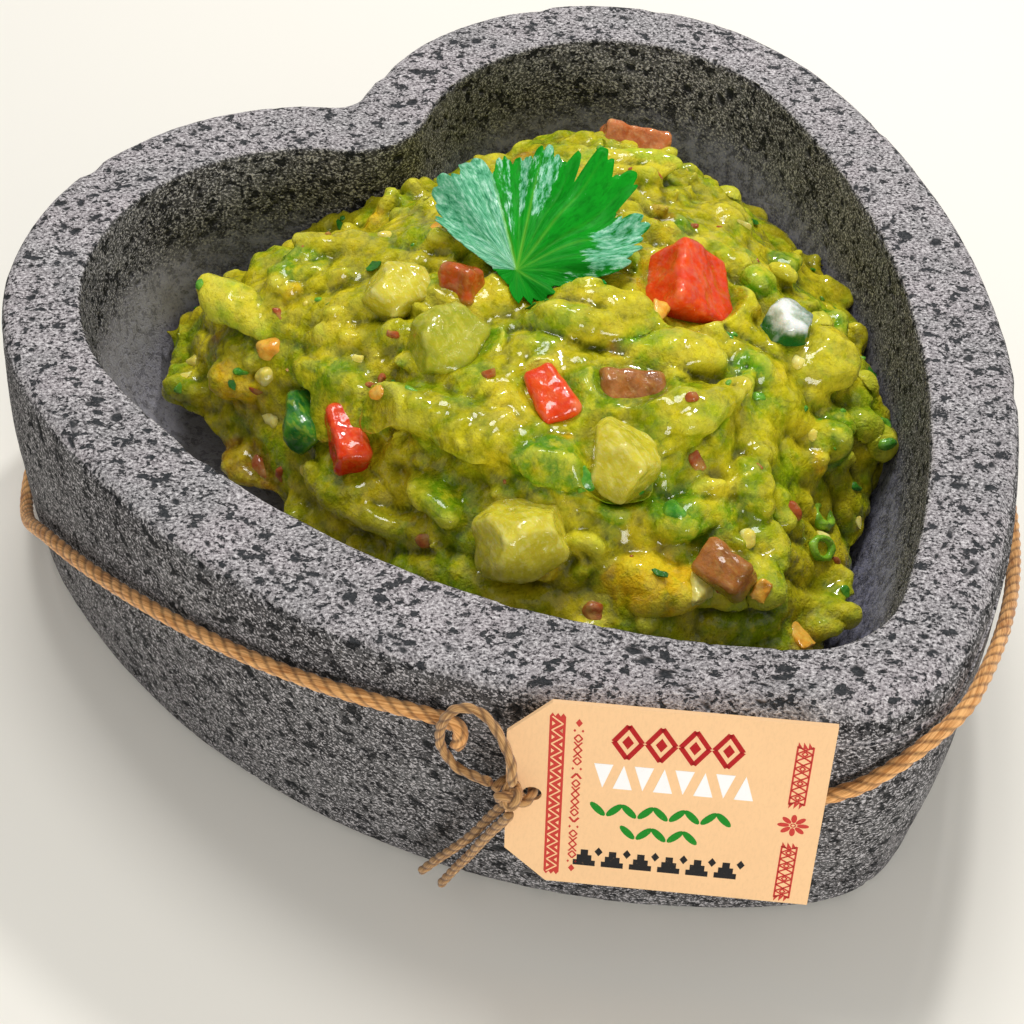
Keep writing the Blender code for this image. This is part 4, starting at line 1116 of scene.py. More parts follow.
def surface_spots(count, draw, keep_off):
    """Random spots on top of the mash with the way its surface faces, clear of larger pieces."""
    found = []
    for _ in range(count * 12):
        if len(found) >= count:
            break
        start = Vector((draw.uniform(-78.0, 78.0), draw.uniform(-70.0, 86.0), DROP_HEIGHT)) * MM
        if any(low.x < start.x < high.x and low.y < start.y < high.y for low, high in keep_off):
            continue
        spot = fall(start)
        if spot and spot[1].z > 0.25:
            found.append(spot)
    return found


def topping_boxes():
    """Boxes round the cut pieces, which bits stay clear of."""
    names = [f"tomato_{i}" for i in range(1, 8)] + [f"avocado_{i}" for i in range(1, 5)]
    return [tuple(Vector(corner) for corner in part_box(name)) for name in names + ["onion", "green_chilli"]]


def facing_turn(facing, draw):
    """Turn that lays a flat piece on a surface, spun at random."""
    spin = Matrix.Rotation(draw.uniform(0.0, 2.0 * math.pi), 3, "Z")
    return facing.to_track_quat("Z", "Y").to_matrix() @ spin


def add_flake(bm, place, facing, size, draw):
    """Torn shred of leaf, bent over the mash."""
    turn = facing_turn(facing, draw)
    made = bmesh.ops.create_circle(bm, cap_ends=True, radius=0.5, segments=9)
    bend = draw.uniform(-0.25, 0.45)
    for vert in made["verts"]:
        vert.co *= draw.uniform(0.65, 1.15)
        flat = Vector((vert.co.x * size, vert.co.y * size * 0.55, 0.0)) * MM
        flat.z = (bend * vert.co.x ** 2 * size + draw.uniform(0.15, 0.45)) * MM
        vert.co = place + turn @ flat
    faces = list(dict.fromkeys(face for vert in made["verts"] for face in vert.link_faces))
    raised = bmesh.ops.extrude_face_region(bm, geom=faces)
    lifted = [item for item in raised["geom"] if isinstance(item, bmesh.types.BMVert)]
    bmesh.ops.translate(bm, verts=lifted, vec=facing * 0.35 * MM)


def add_bit(bm, place, facing, size, draw):
    """Small cut bit, half sunk in the mash."""
    shape = Vector((size, size * draw.uniform(0.6, 0.9), size * draw.uniform(0.45, 0.75))) * MM
    centre, turn = place - facing * size * 0.07 * MM, facing_turn(facing, draw)
    if draw.random() < 0.5:
        angular_chunk(bm, centre, shape, turn, draw)
    else:
        soft_lump(bm, centre, shape, turn, draw, 3)


def add_ring(bm, place, facing, size, draw):
    """Ring cut from a green chilli, standing a little proud of the mash."""
    ring = bmesh.new()
    section = bmesh.ops.create_circle(ring, segments=8, radius=0.5)["verts"]
    for vert in section:
        vert.co = Vector((0.36 + vert.co.x * 0.26, 0.0, -0.03 + vert.co.y * 0.36)) * size * MM
    edges = list(dict.fromkeys(edge for vert in section for edge in vert.link_edges))
    bmesh.ops.spin(ring, geom=section + edges, cent=(0.0, 0.0, 0.0), axis=(0.0, 0.0, 1.0),
                   angle=2.0 * math.pi, steps=20, use_merge=True)
    squeeze = Matrix.Diagonal((1.0, draw.uniform(0.75, 0.95), 1.0, 1.0))
    ring.transform(Matrix.Translation(place) @ facing_turn(facing, draw).to_4x4() @ squeeze)
    mesh = mesh_of(ring, "ring")
    bm.from_mesh(mesh)
    bpy.data.meshes.remove(mesh)


# bits that stand out on the mash: middle in mm and size in mm
PLACED_BITS = {
    "chilli_rings": ((26.3, -49.1, 8.0), (20.9, -55.4, 7.0), (-7.6, 74.2, 7.5)),
    "green_bits": ((-9.8, -43.5, 6.0), (62.9, -8.1, 4.5), (58.4, -17.8, 5.0), (51.0, -38.6, 5.0),
                   (-38.1, 1.8, 4.0), (-22.2, -32.2, 5.0), (47.0, -44.0, 4.0), (-37.0, 36.0, 4.0),
                   (-13.0, -37.0, 3.5), (39.0, -45.0, 4.5), (-3.0, 78.0, 4.5)),
    "yellow_bits": ((-12.3, -57.3, 7.5), (-58.0, 60.0, 4.5), (-62.0, 57.0, 4.0), (-52.5, 36.2, 5.0),
                    (-54.2, 31.1, 5.5), (-54.9, 15.8, 4.5), (-53.0, 19.5, 3.5), (6.0, 72.0, 6.0),
                    (16.0, 64.0, 5.0), (1.5, -53.0, 5.0)),
    "orange_bits": ((4.9, -67.8, 7.5), (-49.5, 39.4, 7.0), (-11.6, 38.5, 6.0), (-4.0, -64.0, 4.5),
                    (13.5, -7.8, 5.5), (-43.0, 7.5, 5.0), (-14.0, -28.5, 4.0)),
    "soft_tomato_bits": ((2.7, -31.2, 3.2), (-0.1, -38.3, 4.5), (-8.2, -58.9, 4.5), (-55.1, 36.3, 3.6),
                         (-46.1, 42.3, 4.0), (-38.8, 13.8, 4.5), (-25.0, -3.5, 4.5), (-47.8, -17.5, 4.5),
                         (-59.4, 27.5, 5.5), (-58.0, 20.0, 4.5), (-30.0, -48.0, 5.0), (16.0, -50.0, 4.5),
                         (-33.0, 18.0, 3.4))}


def make_bits(context):
    """Every kind of small bit as one piece."""
    if "mash" not in bpy.data.objects:
        raise RuntimeError("make the mash before its bits")
    top = settings(context, "guac_toppings")
    draw = random.Random(settings(context, "guac_heap").seed + 1)
    boxes = topping_boxes()
    kinds = (("herb_flakes", "leaf", add_flake, top.flakes, (2.0, 4.2), (0.02, 0.14, 0.01),
              (0.05, 0.26, 0.02)),
             ("chilli_rings", "chilli", add_ring, 0, (5.0, 8.0), (0.20, 0.44, 0.02), (0.34, 0.60, 0.05)),
             ("green_bits", "chilli", add_bit, top.green_bits, (1.8, 3.4), (0.05, 0.26, 0.02),
              (0.20, 0.48, 0.04)),
             ("soft_tomato_bits", "tomato", add_bit, top.tomato_bits, (1.4, 2.8), (0.42, 0.09, 0.02),
              (0.50, 0.26, 0.06)),
             ("orange_bits", "tomato", add_bit, 0, (3.0, 5.0), (0.85, 0.36, 0.03), (0.95, 0.55, 0.08)),
             ("yellow_bits", "avocado", add_bit, top.yellow_bits, (2.0, 4.0), (0.86, 0.70, 0.10),
              (0.92, 0.84, 0.30)))
    for name, slot, add, count, sizes, colour, second in kinds:
        context.view_layer.update()
        bm = bmesh.new()
        for place, facing in surface_spots(count, draw, boxes):
            add(bm, place, facing, draw.uniform(*sizes), draw)
        for x, y, size in PLACED_BITS.get(name, ()):
            spot = fall(Vector((x * MM, y * MM, DROP_HEIGHT * MM)))
            if spot:
                add(bm, *spot, size, draw)
        material = cut_material(name.replace("_", " "), colour, second, 0.3, second, 0.4, 0.15)
        if add is add_flake:
            mesh = mesh_of(bm, name)
        else:
            mesh = remeshed(bm, name, 0.36 * MM)
            points = relax(positions(mesh), edge_pairs(mesh), 3)
            push_out(mesh, points, noise_at(points, 1.6 * MM) * 0.3 * MM)
        # the bits get no painted highlight on their ridges
        paint(mesh, "edge", np.zeros(len(mesh.vertices)))
        finish_piece(name, mesh, material, sharp=40.0)


# --- Leaf -----------------------------------------------------------------------------------------
LEAF_JUNCTION = Vector((-5.6, 15.6, 74.6)) * MM
LEAF_RISE, LEAF_RISE_BEARING, LEAF_DROOP = 0.30, 53.0, 3.0
LEAF_THICKNESS = 0.5 * MM
LEAF_SEAM = -195.0        # bearing in degrees at which the leaf's outline starts
# bearing in degrees and reach in mm of the leaf's lobes and notches, clockwise
LEAF_RIM = ((165, 3.5), (135, 5), (122, 9.5), (114, 16), (110, 20.6), (106, 21.8), (103.5, 21.4),
            (101, 23.5), (98, 26.4), (94, 27.4), (91, 26.8), (88, 24.5), (86, 23.6), (84, 26.5),
            (81, 29), (77, 30.6), (74, 30), (71, 28.2), (68.5, 25.8), (67, 25.2), (65.5, 27.4), (62, 29),
            (60, 28.2), (58, 29), (54, 30.2), (51.5, 29.2), (49, 30), (46, 31), (42.5, 30.6), (39, 29.4),
            (37, 28.4), (35.4, 30.4), (33, 32), (31, 31), (29, 28.4), (27.6, 25.6), (26.4, 29), (25, 32),
            (21.5, 33), (18, 32.2), (15.6, 30.0), (13.6, 32.6), (10.5, 34.6), (7, 33), (4.8, 28.0),
            (2.4, 24.6), (0, 27.4), (-3, 30.4), (-6.5, 31.0), (-9.5, 28.6), (-12, 27.6), (-15, 25.4),
            (-18.5, 26.6), (-22, 26.2), (-25, 23.6), (-29.5, 23.4), (-33, 20.4), (-35.5, 17.2), (-39, 18.2),
            (-43, 15.6), (-46, 11.6), (-55, 8.2), (-62, 7.8), (-68, 9.8), (-75, 8.2), (-82, 8.6), (-92, 6.4),
            (-100, 7.6), (-110, 5.8), (-120, 7.2), (-134, 5.4), (-150, 3.4))
# bearing and length of each main vein, and how clearly it shows
LEAF_VEINS = ((110, 17, 0.1), (97, 22, 0.1), (78, 26, 0.15), (69, 27, 0.8), (54, 26, 0.1), (46, 27, 0.7),
              (33, 28, 0.1), (22, 30, 0.35), (10, 32, 0.1), (-5, 27, 0.3), (-18, 22, 0.1),
              (-33, 15, 0.1), (-68, 8, 0.4), (-100, 6, 0.1), (-124, 6, 0.1))
# bearings between which a painted sheen lies on the leaf, from how far out in mm, and how strongly
LEAF_SHIMMER = ((68, 140, 0.5, 0.95), (59, 66, 8.0, 0.42), (50, 55, 13.0, 0.62), (37, 46, 13.0, 0.55),
                (46, 50, 20.0, 0.35), (-13, 1, 17.0, 0.66), (-32, -12, 14.0, 0.70), (-46, -32, 9.0, 0.35))


def leaf_polar(points):
    """Reach in mm and bearing in degrees of points from the leaf's junction."""
    x, y = ((points - np.array(LEAF_JUNCTION)) / MM).T[:2]
    return np.hypot(x, y), (np.degrees(np.arctan2(y, x)) - LEAF_SEAM) % 360.0 + LEAF_SEAM


def leaf_reach(bearing):
    """How far in mm the leaf reaches from its junction, with small round teeth along its rim."""
    rows = np.array(LEAF_RIM + ((LEAF_RIM[0][0] - 360.0, LEAF_RIM[0][1]),), float)[::-1]
    turned = (bearing - rows[0, 0]) % 360.0 + rows[0, 0]
    reach = np.interp(turned, rows[:, 0], rows[:, 1])
    teeth = 1.0 - np.abs(np.sin(np.radians(turned) * 33.0 + np.sin(np.radians(turned) * 7.0) * 1.6))
    return reach - teeth ** 2 * 1.7 * np.clip((reach - 8.0) / 10.0, 0.0, 1.0)


def leaf_shape(bearing, reach):
    """Height in mm of the leaf's top over its junction."""
    climb = LEAF_RISE * reach * np.cos(np.radians(bearing - LEAF_RISE_BEARING))
    veins = np.array([row[0] for row in LEAF_VEINS][::-1], float)
    slot = np.clip(np.searchsorted(veins, bearing) - 1, 0, len(veins) - 2)
    share = np.clip((bearing - veins[slot]) / (veins[slot + 1] - veins[slot]), 0.0, 1.0)
    pleat = np.sin(share * math.pi) * reach * 0.014
    fibres = np.array([noise.noise(Vector((b / 2.4, r / 8.0, 0.0))) for b, r in zip(bearing, reach)])
    waves = np.array([noise.noise(Vector((b / 16.0, r / 14.0, 7.0))) for b, r in zip(bearing, reach)])
    return (climb - LEAF_DROOP * reach ** 2 * MM + pleat + fibres * 0.12 * np.minimum(reach / 8.0, 1.0)
            + waves * 0.17 * reach)


def make_leaf(context):
    top = settings(context, "guac_toppings")
    count, rings, under = 600, 30, 8
    bearing = LEAF_SEAM + 360.0 * np.arange(count) / count
    rim = leaf_reach(bearing)
    shares = np.r_[np.linspace(0.012, 1.0, rings), np.linspace(1.0, 0.012, under)]
    rows = []
    for i, share in enumerate(shares):
        reach = rim * share
        height = leaf_shape(bearing, reach)
        if i >= rings:
            height -= LEAF_THICKNESS / MM * (0.4 + 0.6 * (share < 1.0))
        rows.append(np.c_[np.cos(np.radians(bearing)) * reach, np.sin(np.radians(bearing)) * reach,
                          height] * MM + np.array(LEAF_JUNCTION))
    mesh = mesh_of(wrapped_grid(np.array(rows)), "leaf_blade")
    reach, angle = leaf_polar(positions(mesh))
    vein = np.zeros(len(reach))
    for heading, length, shows in LEAF_VEINS:
        across = reach * np.abs(np.sin(np.radians(angle - heading)))
        ahead = np.cos(np.radians(angle - heading)) > 0.0
        width = 0.36 - 0.2 * np.clip(reach / length, 0.0, 1.0)
        fade = np.clip(1.15 - reach / length, 0.0, 1.0) * shows
        vein = np.maximum(vein, np.exp(-(across / width) ** 2) * ahead * fade)
    painted_sheen = np.zeros(len(reach))
    # painted sheen: where on the leaf the pale reflection is painted
    for low, high, start, strength in LEAF_SHIMMER:
        spread = smooth_share((angle - low) / 3.0 + 0.5) * smooth_share((high - angle) / 3.0 + 0.5)
        painted_sheen = np.maximum(painted_sheen, spread * smooth_share((reach - start) / 4.0 + 0.5) * strength)
    for name, values in (("fan", angle), ("reach", reach), ("vein", vein), ("painted_sheen", painted_sheen)):
        paint(mesh, name, values)
    material = leaf_material(tuple(top.leaf_colour), tuple(top.sheen_colour))
    finish_piece("leaf_blade", mesh, material, ("leaf",))


# --- Twine and strings ------------------------------------------------------------------------------
# share of the way round the wall, clockwise from the tip, and height in mm
TWINE_ROUTE = ((0.1262, 50.4), (0.1252, 54.2), (0.129, 56.6), (0.144, 55.8), (0.185, 51.4),
               (0.221, 46.6), (0.251, 40.6), (0.279, 33.0), (0.294, 26.8), (0.309, 19.0),
               (0.326, 12.8), (0.35, 9.8), (0.4, 9.0), (0.46, 10.5), (0.53, 13.0), (0.6, 16.5),
               (0.7, 23.0), (0.79, 30.5), (0.86, 37.5), (0.905, 44.0), (0.94, 51.0), (0.968, 56.4),
               (0.986, 58.2), (1.0, 57.6), (1.012, 53.5), (1.022, 49.2), (1.035, 46.3),
               (1.06, 44.2), (1.082, 43.4))
TWINE_CLEARANCE = 0.45 * MM
TWINE_LAY, STRING_LAY = 9.5 * MM, 6.5 * MM     # length of one full twist
STRING_STEP = 0.45 * MM
CORD_END = 0.85                                # share of the thickness that is left at a cord's end
KNOT_CENTRE = Vector((-65.5, -73.0, 50.8))
LOOP_ROUTE = ((-66.9, -69.0, 50.8), (-67.5, -66.8, 49.5), (-68.1, -64.5, 48.5), (-69.1, -62.2, 48.2),
              (-69.9, -60.4, 49.7), (-70.7, -59.1, 52.7), (-70.9, -59.1, 56.9), (-70.6, -59.8, 61.1),
              (-69.5, -60.8, 64.2), (-68.0, -62.4, 65.8), (-66.7, -64.3, 66.0), (-65.9, -66.6, 65.4),
              (-65.6, -69.0, 64.1), (-65.5, -71.2, 62.2), (-65.4, -72.6, 59.8), (-65.5, -73.2, 57.1),
              (-65.6, -73.3, 55.0))
TAIL_ROUTES = (((-65.3, -71.9, 46.8), (-65.6, -70.2, 42.7), (-66.2, -68.0, 36.9), (-67.4, -65.5, 29.3),
                (-69.1, -62.6, 22.0), (-70.7, -59.5, 15.0), (-72.4, -56.0, 6.6)),
               ((-66.2, -74.2, 46.9), (-66.3, -73.0, 43.4), (-66.9, -70.9, 38.0), (-67.8, -68.7, 31.4),
                (-68.4, -66.0, 23.4), (-69.3, -62.9, 14.8), (-70.2, -59.6, 5.0)))
# distance along the card from its hole and in front of the card, in mm
RING_ROUTE = ((-2.6, 3.0), (-0.9, 2.4), (0.0, 0.6), (0.0, -0.8), (-1.0, -2.2), (-3.0, -2.6),
              (-5.4, -1.9), (-6.5, 0.2))
TAG_MIDDLE = Vector((-43.2, -87.2, 48.2)) * MM
TAG_ANGLES = (-40.5, 90.0 - 10.0, 2.6)         # turn, lean back and roll in degrees
HOLE_FROM_EDGE = 4.6 * MM


def distances_along(points):
    """How far along a line each of its points lies."""
    return np.r_[0.0, np.cumsum(np.linalg.norm(np.diff(points, axis=0), axis=1))]


def smooth_route(route, spacing, closed=False):
    """Evenly spaced points on the smooth curve through a route's own points."""
    points = np.array([tuple(p) for p in route], float)
    if closed:
        points = np.vstack([points[-1:], points, points[:2]])
    else:
        points = np.vstack([points[:1], points, points[-1:]])
    dense = []
    for a, b, c, d in zip(points, points[1:], points[2:], points[3:]):
        for t in np.arange(12) / 12.0:
            dense.append(0.5 * (2.0 * b + (c - a) * t + (2.0 * a - 5.0 * b + 4.0 * c - d) * t * t
                                + (3.0 * b - a - 3.0 * c + d) * t ** 3))
    dense = np.array(dense + [points[-2]])
    run = distances_along(dense)
    wanted = np.linspace(0.0, run[-1], max(round(run[-1] / spacing), 4) + 1)
    return np.c_[tuple(np.interp(wanted, run, dense[:, k]) for k in range(dense.shape[1]))]


def route_length(points):
    return float(np.linalg.norm(np.diff(points, axis=0), axis=1).sum())


def twine_centre(bowl, tie):
    """Centre line of the twine, smoothed on the unrolled wall and then wrapped round it."""
    points, outward = belt_outline()
    flat = route_length(points)
    unrolled = smooth_route([(share * flat, height * MM, 0.0) for share, height in TWINE_ROUTE], 0.8 * MM)
    ring = points + outward * (bowl.wall_bulge + TWINE_CLEARANCE + tie.twine_diameter / 2.0)
    run = distances_along(ring)
    wanted = unrolled[:, 0] / flat % 1.0 * run[-1]
    place, facing = (np.c_[np.interp(wanted, run, v[:, 0]), np.interp(wanted, run, v[:, 1])]
                     for v in (ring, outward))
    facing /= np.linalg.norm(facing, axis=1)[:, None]
    place -= facing * (bowl.wall_bulge - wall_swell(unrolled[:, 1], bowl))[:, None]
    return np.c_[place, unrolled[:, 1]]


def laid_cord(name, route, diameter, strands, lay, around=26):
    """Cord of twisted strands along a route; its mesh keeps how far along, around and deep it is."""
    tangent = np.gradient(route, axis=0)
    tangent /= np.linalg.norm(tangent, axis=1)[:, None]
    run = distances_along(route)
    side = np.cross(tangent[0], (0.0, 0.0, 1.0) if abs(tangent[0, 2]) < 0.9 else (1.0, 0.0, 0.0))
    # radius of one strand and how far its centre lies from the cord's, as shares of the cord's radius
    strand, middle = (0.66, 0.34) if strands == 3 else (0.79, 0.21)
    deepest = middle * math.cos(math.pi / strands)
    deepest += math.sqrt(strand ** 2 - (middle * math.sin(math.pi / strands)) ** 2)
    turns = 2.0 * math.pi * np.arange(around) / around
    step = 2.0 * math.pi / strands
    rings, hollows = [], []
    for i, point in enumerate(route):
        side = side - tangent[i] * side.dot(tangent[i])
        side /= np.linalg.norm(side)
        up = np.cross(tangent[i], side)
        off = (turns - 2.0 * math.pi * run[i] / lay) % step - step / 2.0
        reach = middle * np.cos(off) + np.sqrt(strand ** 2 - (middle * np.sin(off)) ** 2)
        from_end = min(run[i], run[-1] - run[i]) / (0.4 * diameter)
        size = CORD_END + (1.0 - CORD_END) * min(from_end, 1.0)
        wobble = 1.0 - 0.03 * (noise.noise(Vector(point) / (3.0 * MM)) + 1.0)
        radius = reach * size * wobble * diameter / 2.0
        rings.append(point + np.outer(np.cos(turns) * radius, side) + np.outer(np.sin(turns) * radius, up))
        hollows.append((1.0 - reach) / (1.0 - deepest))
    rings = np.array(rings)
    mesh = mesh_of(wrapped_grid(rings), name)
    owner = nearest(rings.reshape(-1, 3), positions(mesh))
    paint(mesh, "along", run[owner // around])
    paint(mesh, "around", (owner % around) / around)
    # depth in the grooves between strands, which the fibre shader paints dark as painted shade
    paint(mesh, "hollow", np.array(hollows).ravel()[owner])
    return mesh


def make_twine(context):
    bowl, tie = settings(context, "guac_bowl"), settings(context, "guac_tie")
    mesh = laid_cord("wall_twine", twine_centre(bowl, tie), tie.twine_diameter, 3, TWINE_LAY)
    material = cord_material("jute twine", tuple(tie.twine_colour))
    finish_piece("wall_twine", mesh, material, ("twine",))


def tag_frame():
    """Frame of the card: X along it, Y up it, Z out of its front."""
    turn, lean, roll = (math.radians(angle) for angle in TAG_ANGLES)
    upright = Matrix.Rotation(lean, 4, "X")
    turn = Matrix.Rotation(turn, 4, "Z") @ upright @ Matrix.Rotation(roll, 4, "Z")
    return Matrix.Translation(TAG_MIDDLE) @ turn


def tag_hole(tie):
    return Vector((HOLE_FROM_EDGE - tie.tag_width / 2.0, 0.0, 0.0))


def make_tie(context):
    """Tag's string: its knot, the turn through the card's hole, the loop and both tails."""
    tie = settings(context, "guac_tie")
    material = cord_material("hemp string", tuple(tie.string_colour))

    def lay(name, node, points, closed=False):
        route = smooth_route(points, STRING_STEP, closed)
        mesh = laid_cord(name, route, tie.string_diameter, 2, STRING_LAY, 20)
        return route, finish_piece(name, mesh, material, (node,))

    turns = np.linspace(0.0, 2.0 * math.pi, 40, endpoint=False)
    knot = np.c_[(np.sin(turns) + 2.0 * np.sin(2.0 * turns)) * 0.72,
                 (np.cos(turns) - 2.0 * np.cos(2.0 * turns)) * 0.55, -np.sin(3.0 * turns) * 1.25]
    _, knot_piece = lay("string_knot", "tie_knot", (knot + np.array(KNOT_CENTRE)) * MM, closed=True)
    card, hole = tag_frame(), tag_hole(tie)
    lay("string_turn", "tie_turn",
        [card @ (hole + Vector((along, 0.0, front)) * MM) for along, front in RING_ROUTE])
    free = [("string_loop", "tie_loop", LOOP_ROUTE, "object")]
    free += [(f"string_tail_{i}", f"tie_tail_{i}", route, "bare") for i, route in enumerate(TAIL_ROUTES, 1)]
    for name, node, points, far_end in free:
        route, piece = lay(name, node, [Vector(point) * MM for point in points])


# --- Tag ----------------------------------------------------------------------------------------------
PRINT_LIFT = 0.04 * MM                         # between the card and a print, and between two prints
CARD_FRONT, PRINT_FOOT = 0.4 * MM, 0.36 * MM   # front of the card and lowest face of its prints


class Print:
    """Flat shapes of one ink, laid on the card; places are shares of its width and of its height down."""

    def __init__(self, tie, layer=0):
        self.bm = bmesh.new()
        self.tie = tie
        self.height = CARD_FRONT + PRINT_LIFT * (layer + 1)

    def at(self, across, down):
        return Vector(((across - 0.5) * self.tie.tag_width, (0.5 - down) * self.tie.tag_height, self.height))

    def area(self, corners):
        self.bm.faces.new([self.bm.verts.new(corner) for corner in corners])

    def shape(self, *places):
        self.area([self.at(*place) for place in places])

    def bar(self, start, end, width):
        """Straight stroke; its width is a share of the card's width."""
        a, b = self.at(*start), self.at(*end)
        aside = (b - a).cross(Vector((0.0, 0.0, 1.0))).normalized() * width * self.tie.tag_width / 2.0
        self.area([a - aside, a + aside, b + aside, b - aside])

    def diamond(self, across, down, wide, high, line=None):
        corners = [(across, down - high), (across + wide, down), (across, down + high), (across - wide, down)]
        if line is None:
            self.shape(*corners[::-1])
        else:
            for start, end in zip(corners, corners[1:] + corners[:1]):
                self.bar(start, end, line)

    def petal(self, across, down, turn, reach, wide):
        """Leaf-shaped blade that starts at a place and points along a turn."""
        matrix = (Matrix.Translation(self.at(across, down)) @ Matrix.Rotation(turn, 4, "Z")
                  @ Matrix.Translation((reach * 0.5 * self.tie.tag_width, 0.0, 0.0))
                  @ Matrix.Diagonal((reach * self.tie.tag_width, wide * self.tie.tag_width, 1.0, 1.0)))
        bmesh.ops.create_circle(self.bm, cap_ends=True, radius=0.5, segments=14, matrix=matrix)

    def finish(self, name, material):
        """Gives every shape a little depth into the card and puts it in place."""
        for face in self.bm.faces:
            face.normal_update()
            if face.normal.z < 0.0:
                face.normal_flip()
        lower = bmesh.ops.extrude_face_region(self.bm, geom=self.bm.faces[:], use_keep_orig=True)
        sunk = [item for item in lower["geom"] if isinstance(item, bmesh.types.BMVert)]
        bmesh.ops.translate(self.bm, verts=sunk, vec=(0.0, 0.0, PRINT_FOOT - self.height))
        self.bm.transform(tag_frame())
        finish_piece(name, mesh_of(self.bm, name), material, smooth=False)


def thirds(low, high):
    """The three equal parts of a range."""
    return [[low + (high - low) * (k + s) / 3.0 for s in (0.0, 1.0)] for k in range(3)]


def left_band(red, cream):
    """Solid band with a cream zigzag and small triangles, ragged at both ends."""
    left, right, top, bottom, periods = 0.131, 0.181, 0.07, 0.94, 12
    red.shape((left, bottom), (right, bottom), (right, top), (left, top))
    for at, out in ((top, -0.018), (bottom, 0.018)):
        for low, high in thirds(left, right):
            red.shape((low, at), (high, at), ((low + high) / 2.0, at + out))
    inset, deep, half = 0.008, 0.010, 0.012
    step = (bottom - top) / periods
    for k in range(periods):
        start = top + step * k
        middle = start + step / 2.0
        cream.bar((left + inset, start), (right - inset, middle), 0.0052)
        cream.bar((right - inset, middle), (left + inset, start + step), 0.0052)
        cream.shape((left + inset, middle + half), (left + inset + deep, middle),
                    (left + inset, middle - half))
        # the first one on the right would run over the band's end
        beside = max(start, top + step)
        cream.shape((right - inset, beside - half), (right - inset - deep, beside),
                    (right - inset, beside + half))


def motif_column(red):
    """Column of diamonds, crosses, chevrons and dots."""
    across, wide, high, line, top, length = 0.222, 0.0125, 0.021, 0.0052, 0.095, 0.815
    rows = ("solid", "dots", "open", "cross", "cross", "open", "dots", "roof", "open", "cross", "cross",
            "cross", "open", "valley", "dots", "open", "cross", "cross", "open", "dots", "solid")
    for k, kind in enumerate(rows):
        down = top + length * k / (len(rows) - 1)
        if kind == "solid":
            red.diamond(across, down, wide * 0.85, high)
        elif kind == "open":
            red.diamond(across, down, wide, high, line)
        elif kind == "cross":
            for tip in (high, -high):
                red.bar((across - wide, down - tip), (across + wide, down + tip), line)
        elif kind == "dots":
            for side in (-wide, wide):
                red.diamond(across + side, down, wide * 0.32, high * 0.38)
        else:
            tip = -high if kind == "roof" else high
            for side in (-wide, wide):
                red.bar((across + side * 1.2, down - tip * 0.6), (across, down + tip * 0.7), line * 1.4)


def lattice_band(red, top, bottom, count):
    """Band of crossed lines between two edge lines, with ragged ends."""
    left, right, line = 0.889, 0.937, 0.0058
    for across in (left, right):
        red.bar((across, top), (across, bottom), line)
    step = (bottom - top) / count
    for k in range(count):
        start = top + step * k
        red.bar((left, start), (right, start + step), line)
        red.bar((right, start), (left, start + step), line)
        if k % 2:
            red.diamond((left + right) / 2.0, start, 0.009, 0.012, line * 0.8)
    for at, out in ((top, 1.0), (bottom, -1.0)):
        for low, high in thirds(left, right):
            red.shape((low, at - out * 0.022), (high, at + out * 0.012), (low, at + out * 0.012))


def flower(red):
    """Eight petals round a small ring."""
    across, down = 0.913, 0.545
    for k in range(8):
        turn = 2.0 * math.pi * k / 8.0
        red.petal(across + 0.012 * math.cos(turn), down - 0.0145 * math.sin(turn), turn, 0.038, 0.018)
    for k in range(10):
        turns = [2.0 * math.pi * (k + s) / 10.0 for s in (0.0, 1.0)]
        red.bar(*((across + 0.0075 * math.cos(t), down - 0.0091 * math.sin(t)) for t in turns), 0.004)


def rows_of_shapes(dark_red, white, green, black):
    """Five plain rows across the middle of the card."""
    for k in range(4):
        across = 0.375 + 0.103 * k
        dark_red.diamond(across, 0.175, 0.044, 0.088, 0.017)
        dark_red.diamond(across, 0.175, 0.018, 0.036)
    for k in range(8):
        across, half = 0.275 + 0.0632 * k, 0.030
        tip, base = (0.300, 0.430) if k % 2 else (0.430, 0.300)
        white.shape((across, base), (across + 2.0 * half, base), (across + half, tip))
    for down, low, count in ((0.545, 0.275, 9), (0.665, 0.375, 5)):
        for k in range(count):
            turn = math.radians(52.0 if k % 2 else 128.0)
            green.petal(low + 0.05 * k + (0.0 if k % 2 else 0.043), down + 0.042, turn, 0.075, 0.027)
    for k in range(6):
        across = 0.262 + 0.092 * k
        for step in range(3):
            wide, top = 0.036 - 0.012 * step, 0.856 - 0.031 * step
            black.shape((across - wide, top + 0.031), (across + wide, top + 0.031), (across + wide, top),
                        (across - wide, top))
        black.diamond(across + 0.046, 0.800, 0.013, 0.026)


def make_tag(context):
    """Card from the frame with its prints laid on its front."""
    tie = settings(context, "guac_tie")
    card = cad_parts["tag"].data
    card.materials.clear()
    card.materials.append(paper_material(tuple(tie.paper_colour)))
    inks = {"red": (0.58, 0.040, 0.028), "cream": tuple(tie.paper_colour), "dark_red": (0.44, 0.0, 0.003),
            "white": (0.95, 0.94, 0.92), "green": (0.0, 0.235, 0.008), "black": (0.006, 0.006, 0.007)}
    prints = {name: Print(tie, 1 if name == "cream" else 0) for name in inks}
    left_band(prints["red"], prints["cream"])
    motif_column(prints["red"])
    lattice_band(prints["red"], 0.115, 0.43, 8)
    lattice_band(prints["red"], 0.665, 0.97, 8)
    flower(prints["red"])
    rows_of_shapes(prints["dark_red"], prints["white"], prints["green"], prints["black"])
    for name, colour in inks.items():
        prints[name].finish(f"print_{name}", ink_material(f"{name.replace('_', ' ')} ink", colour))


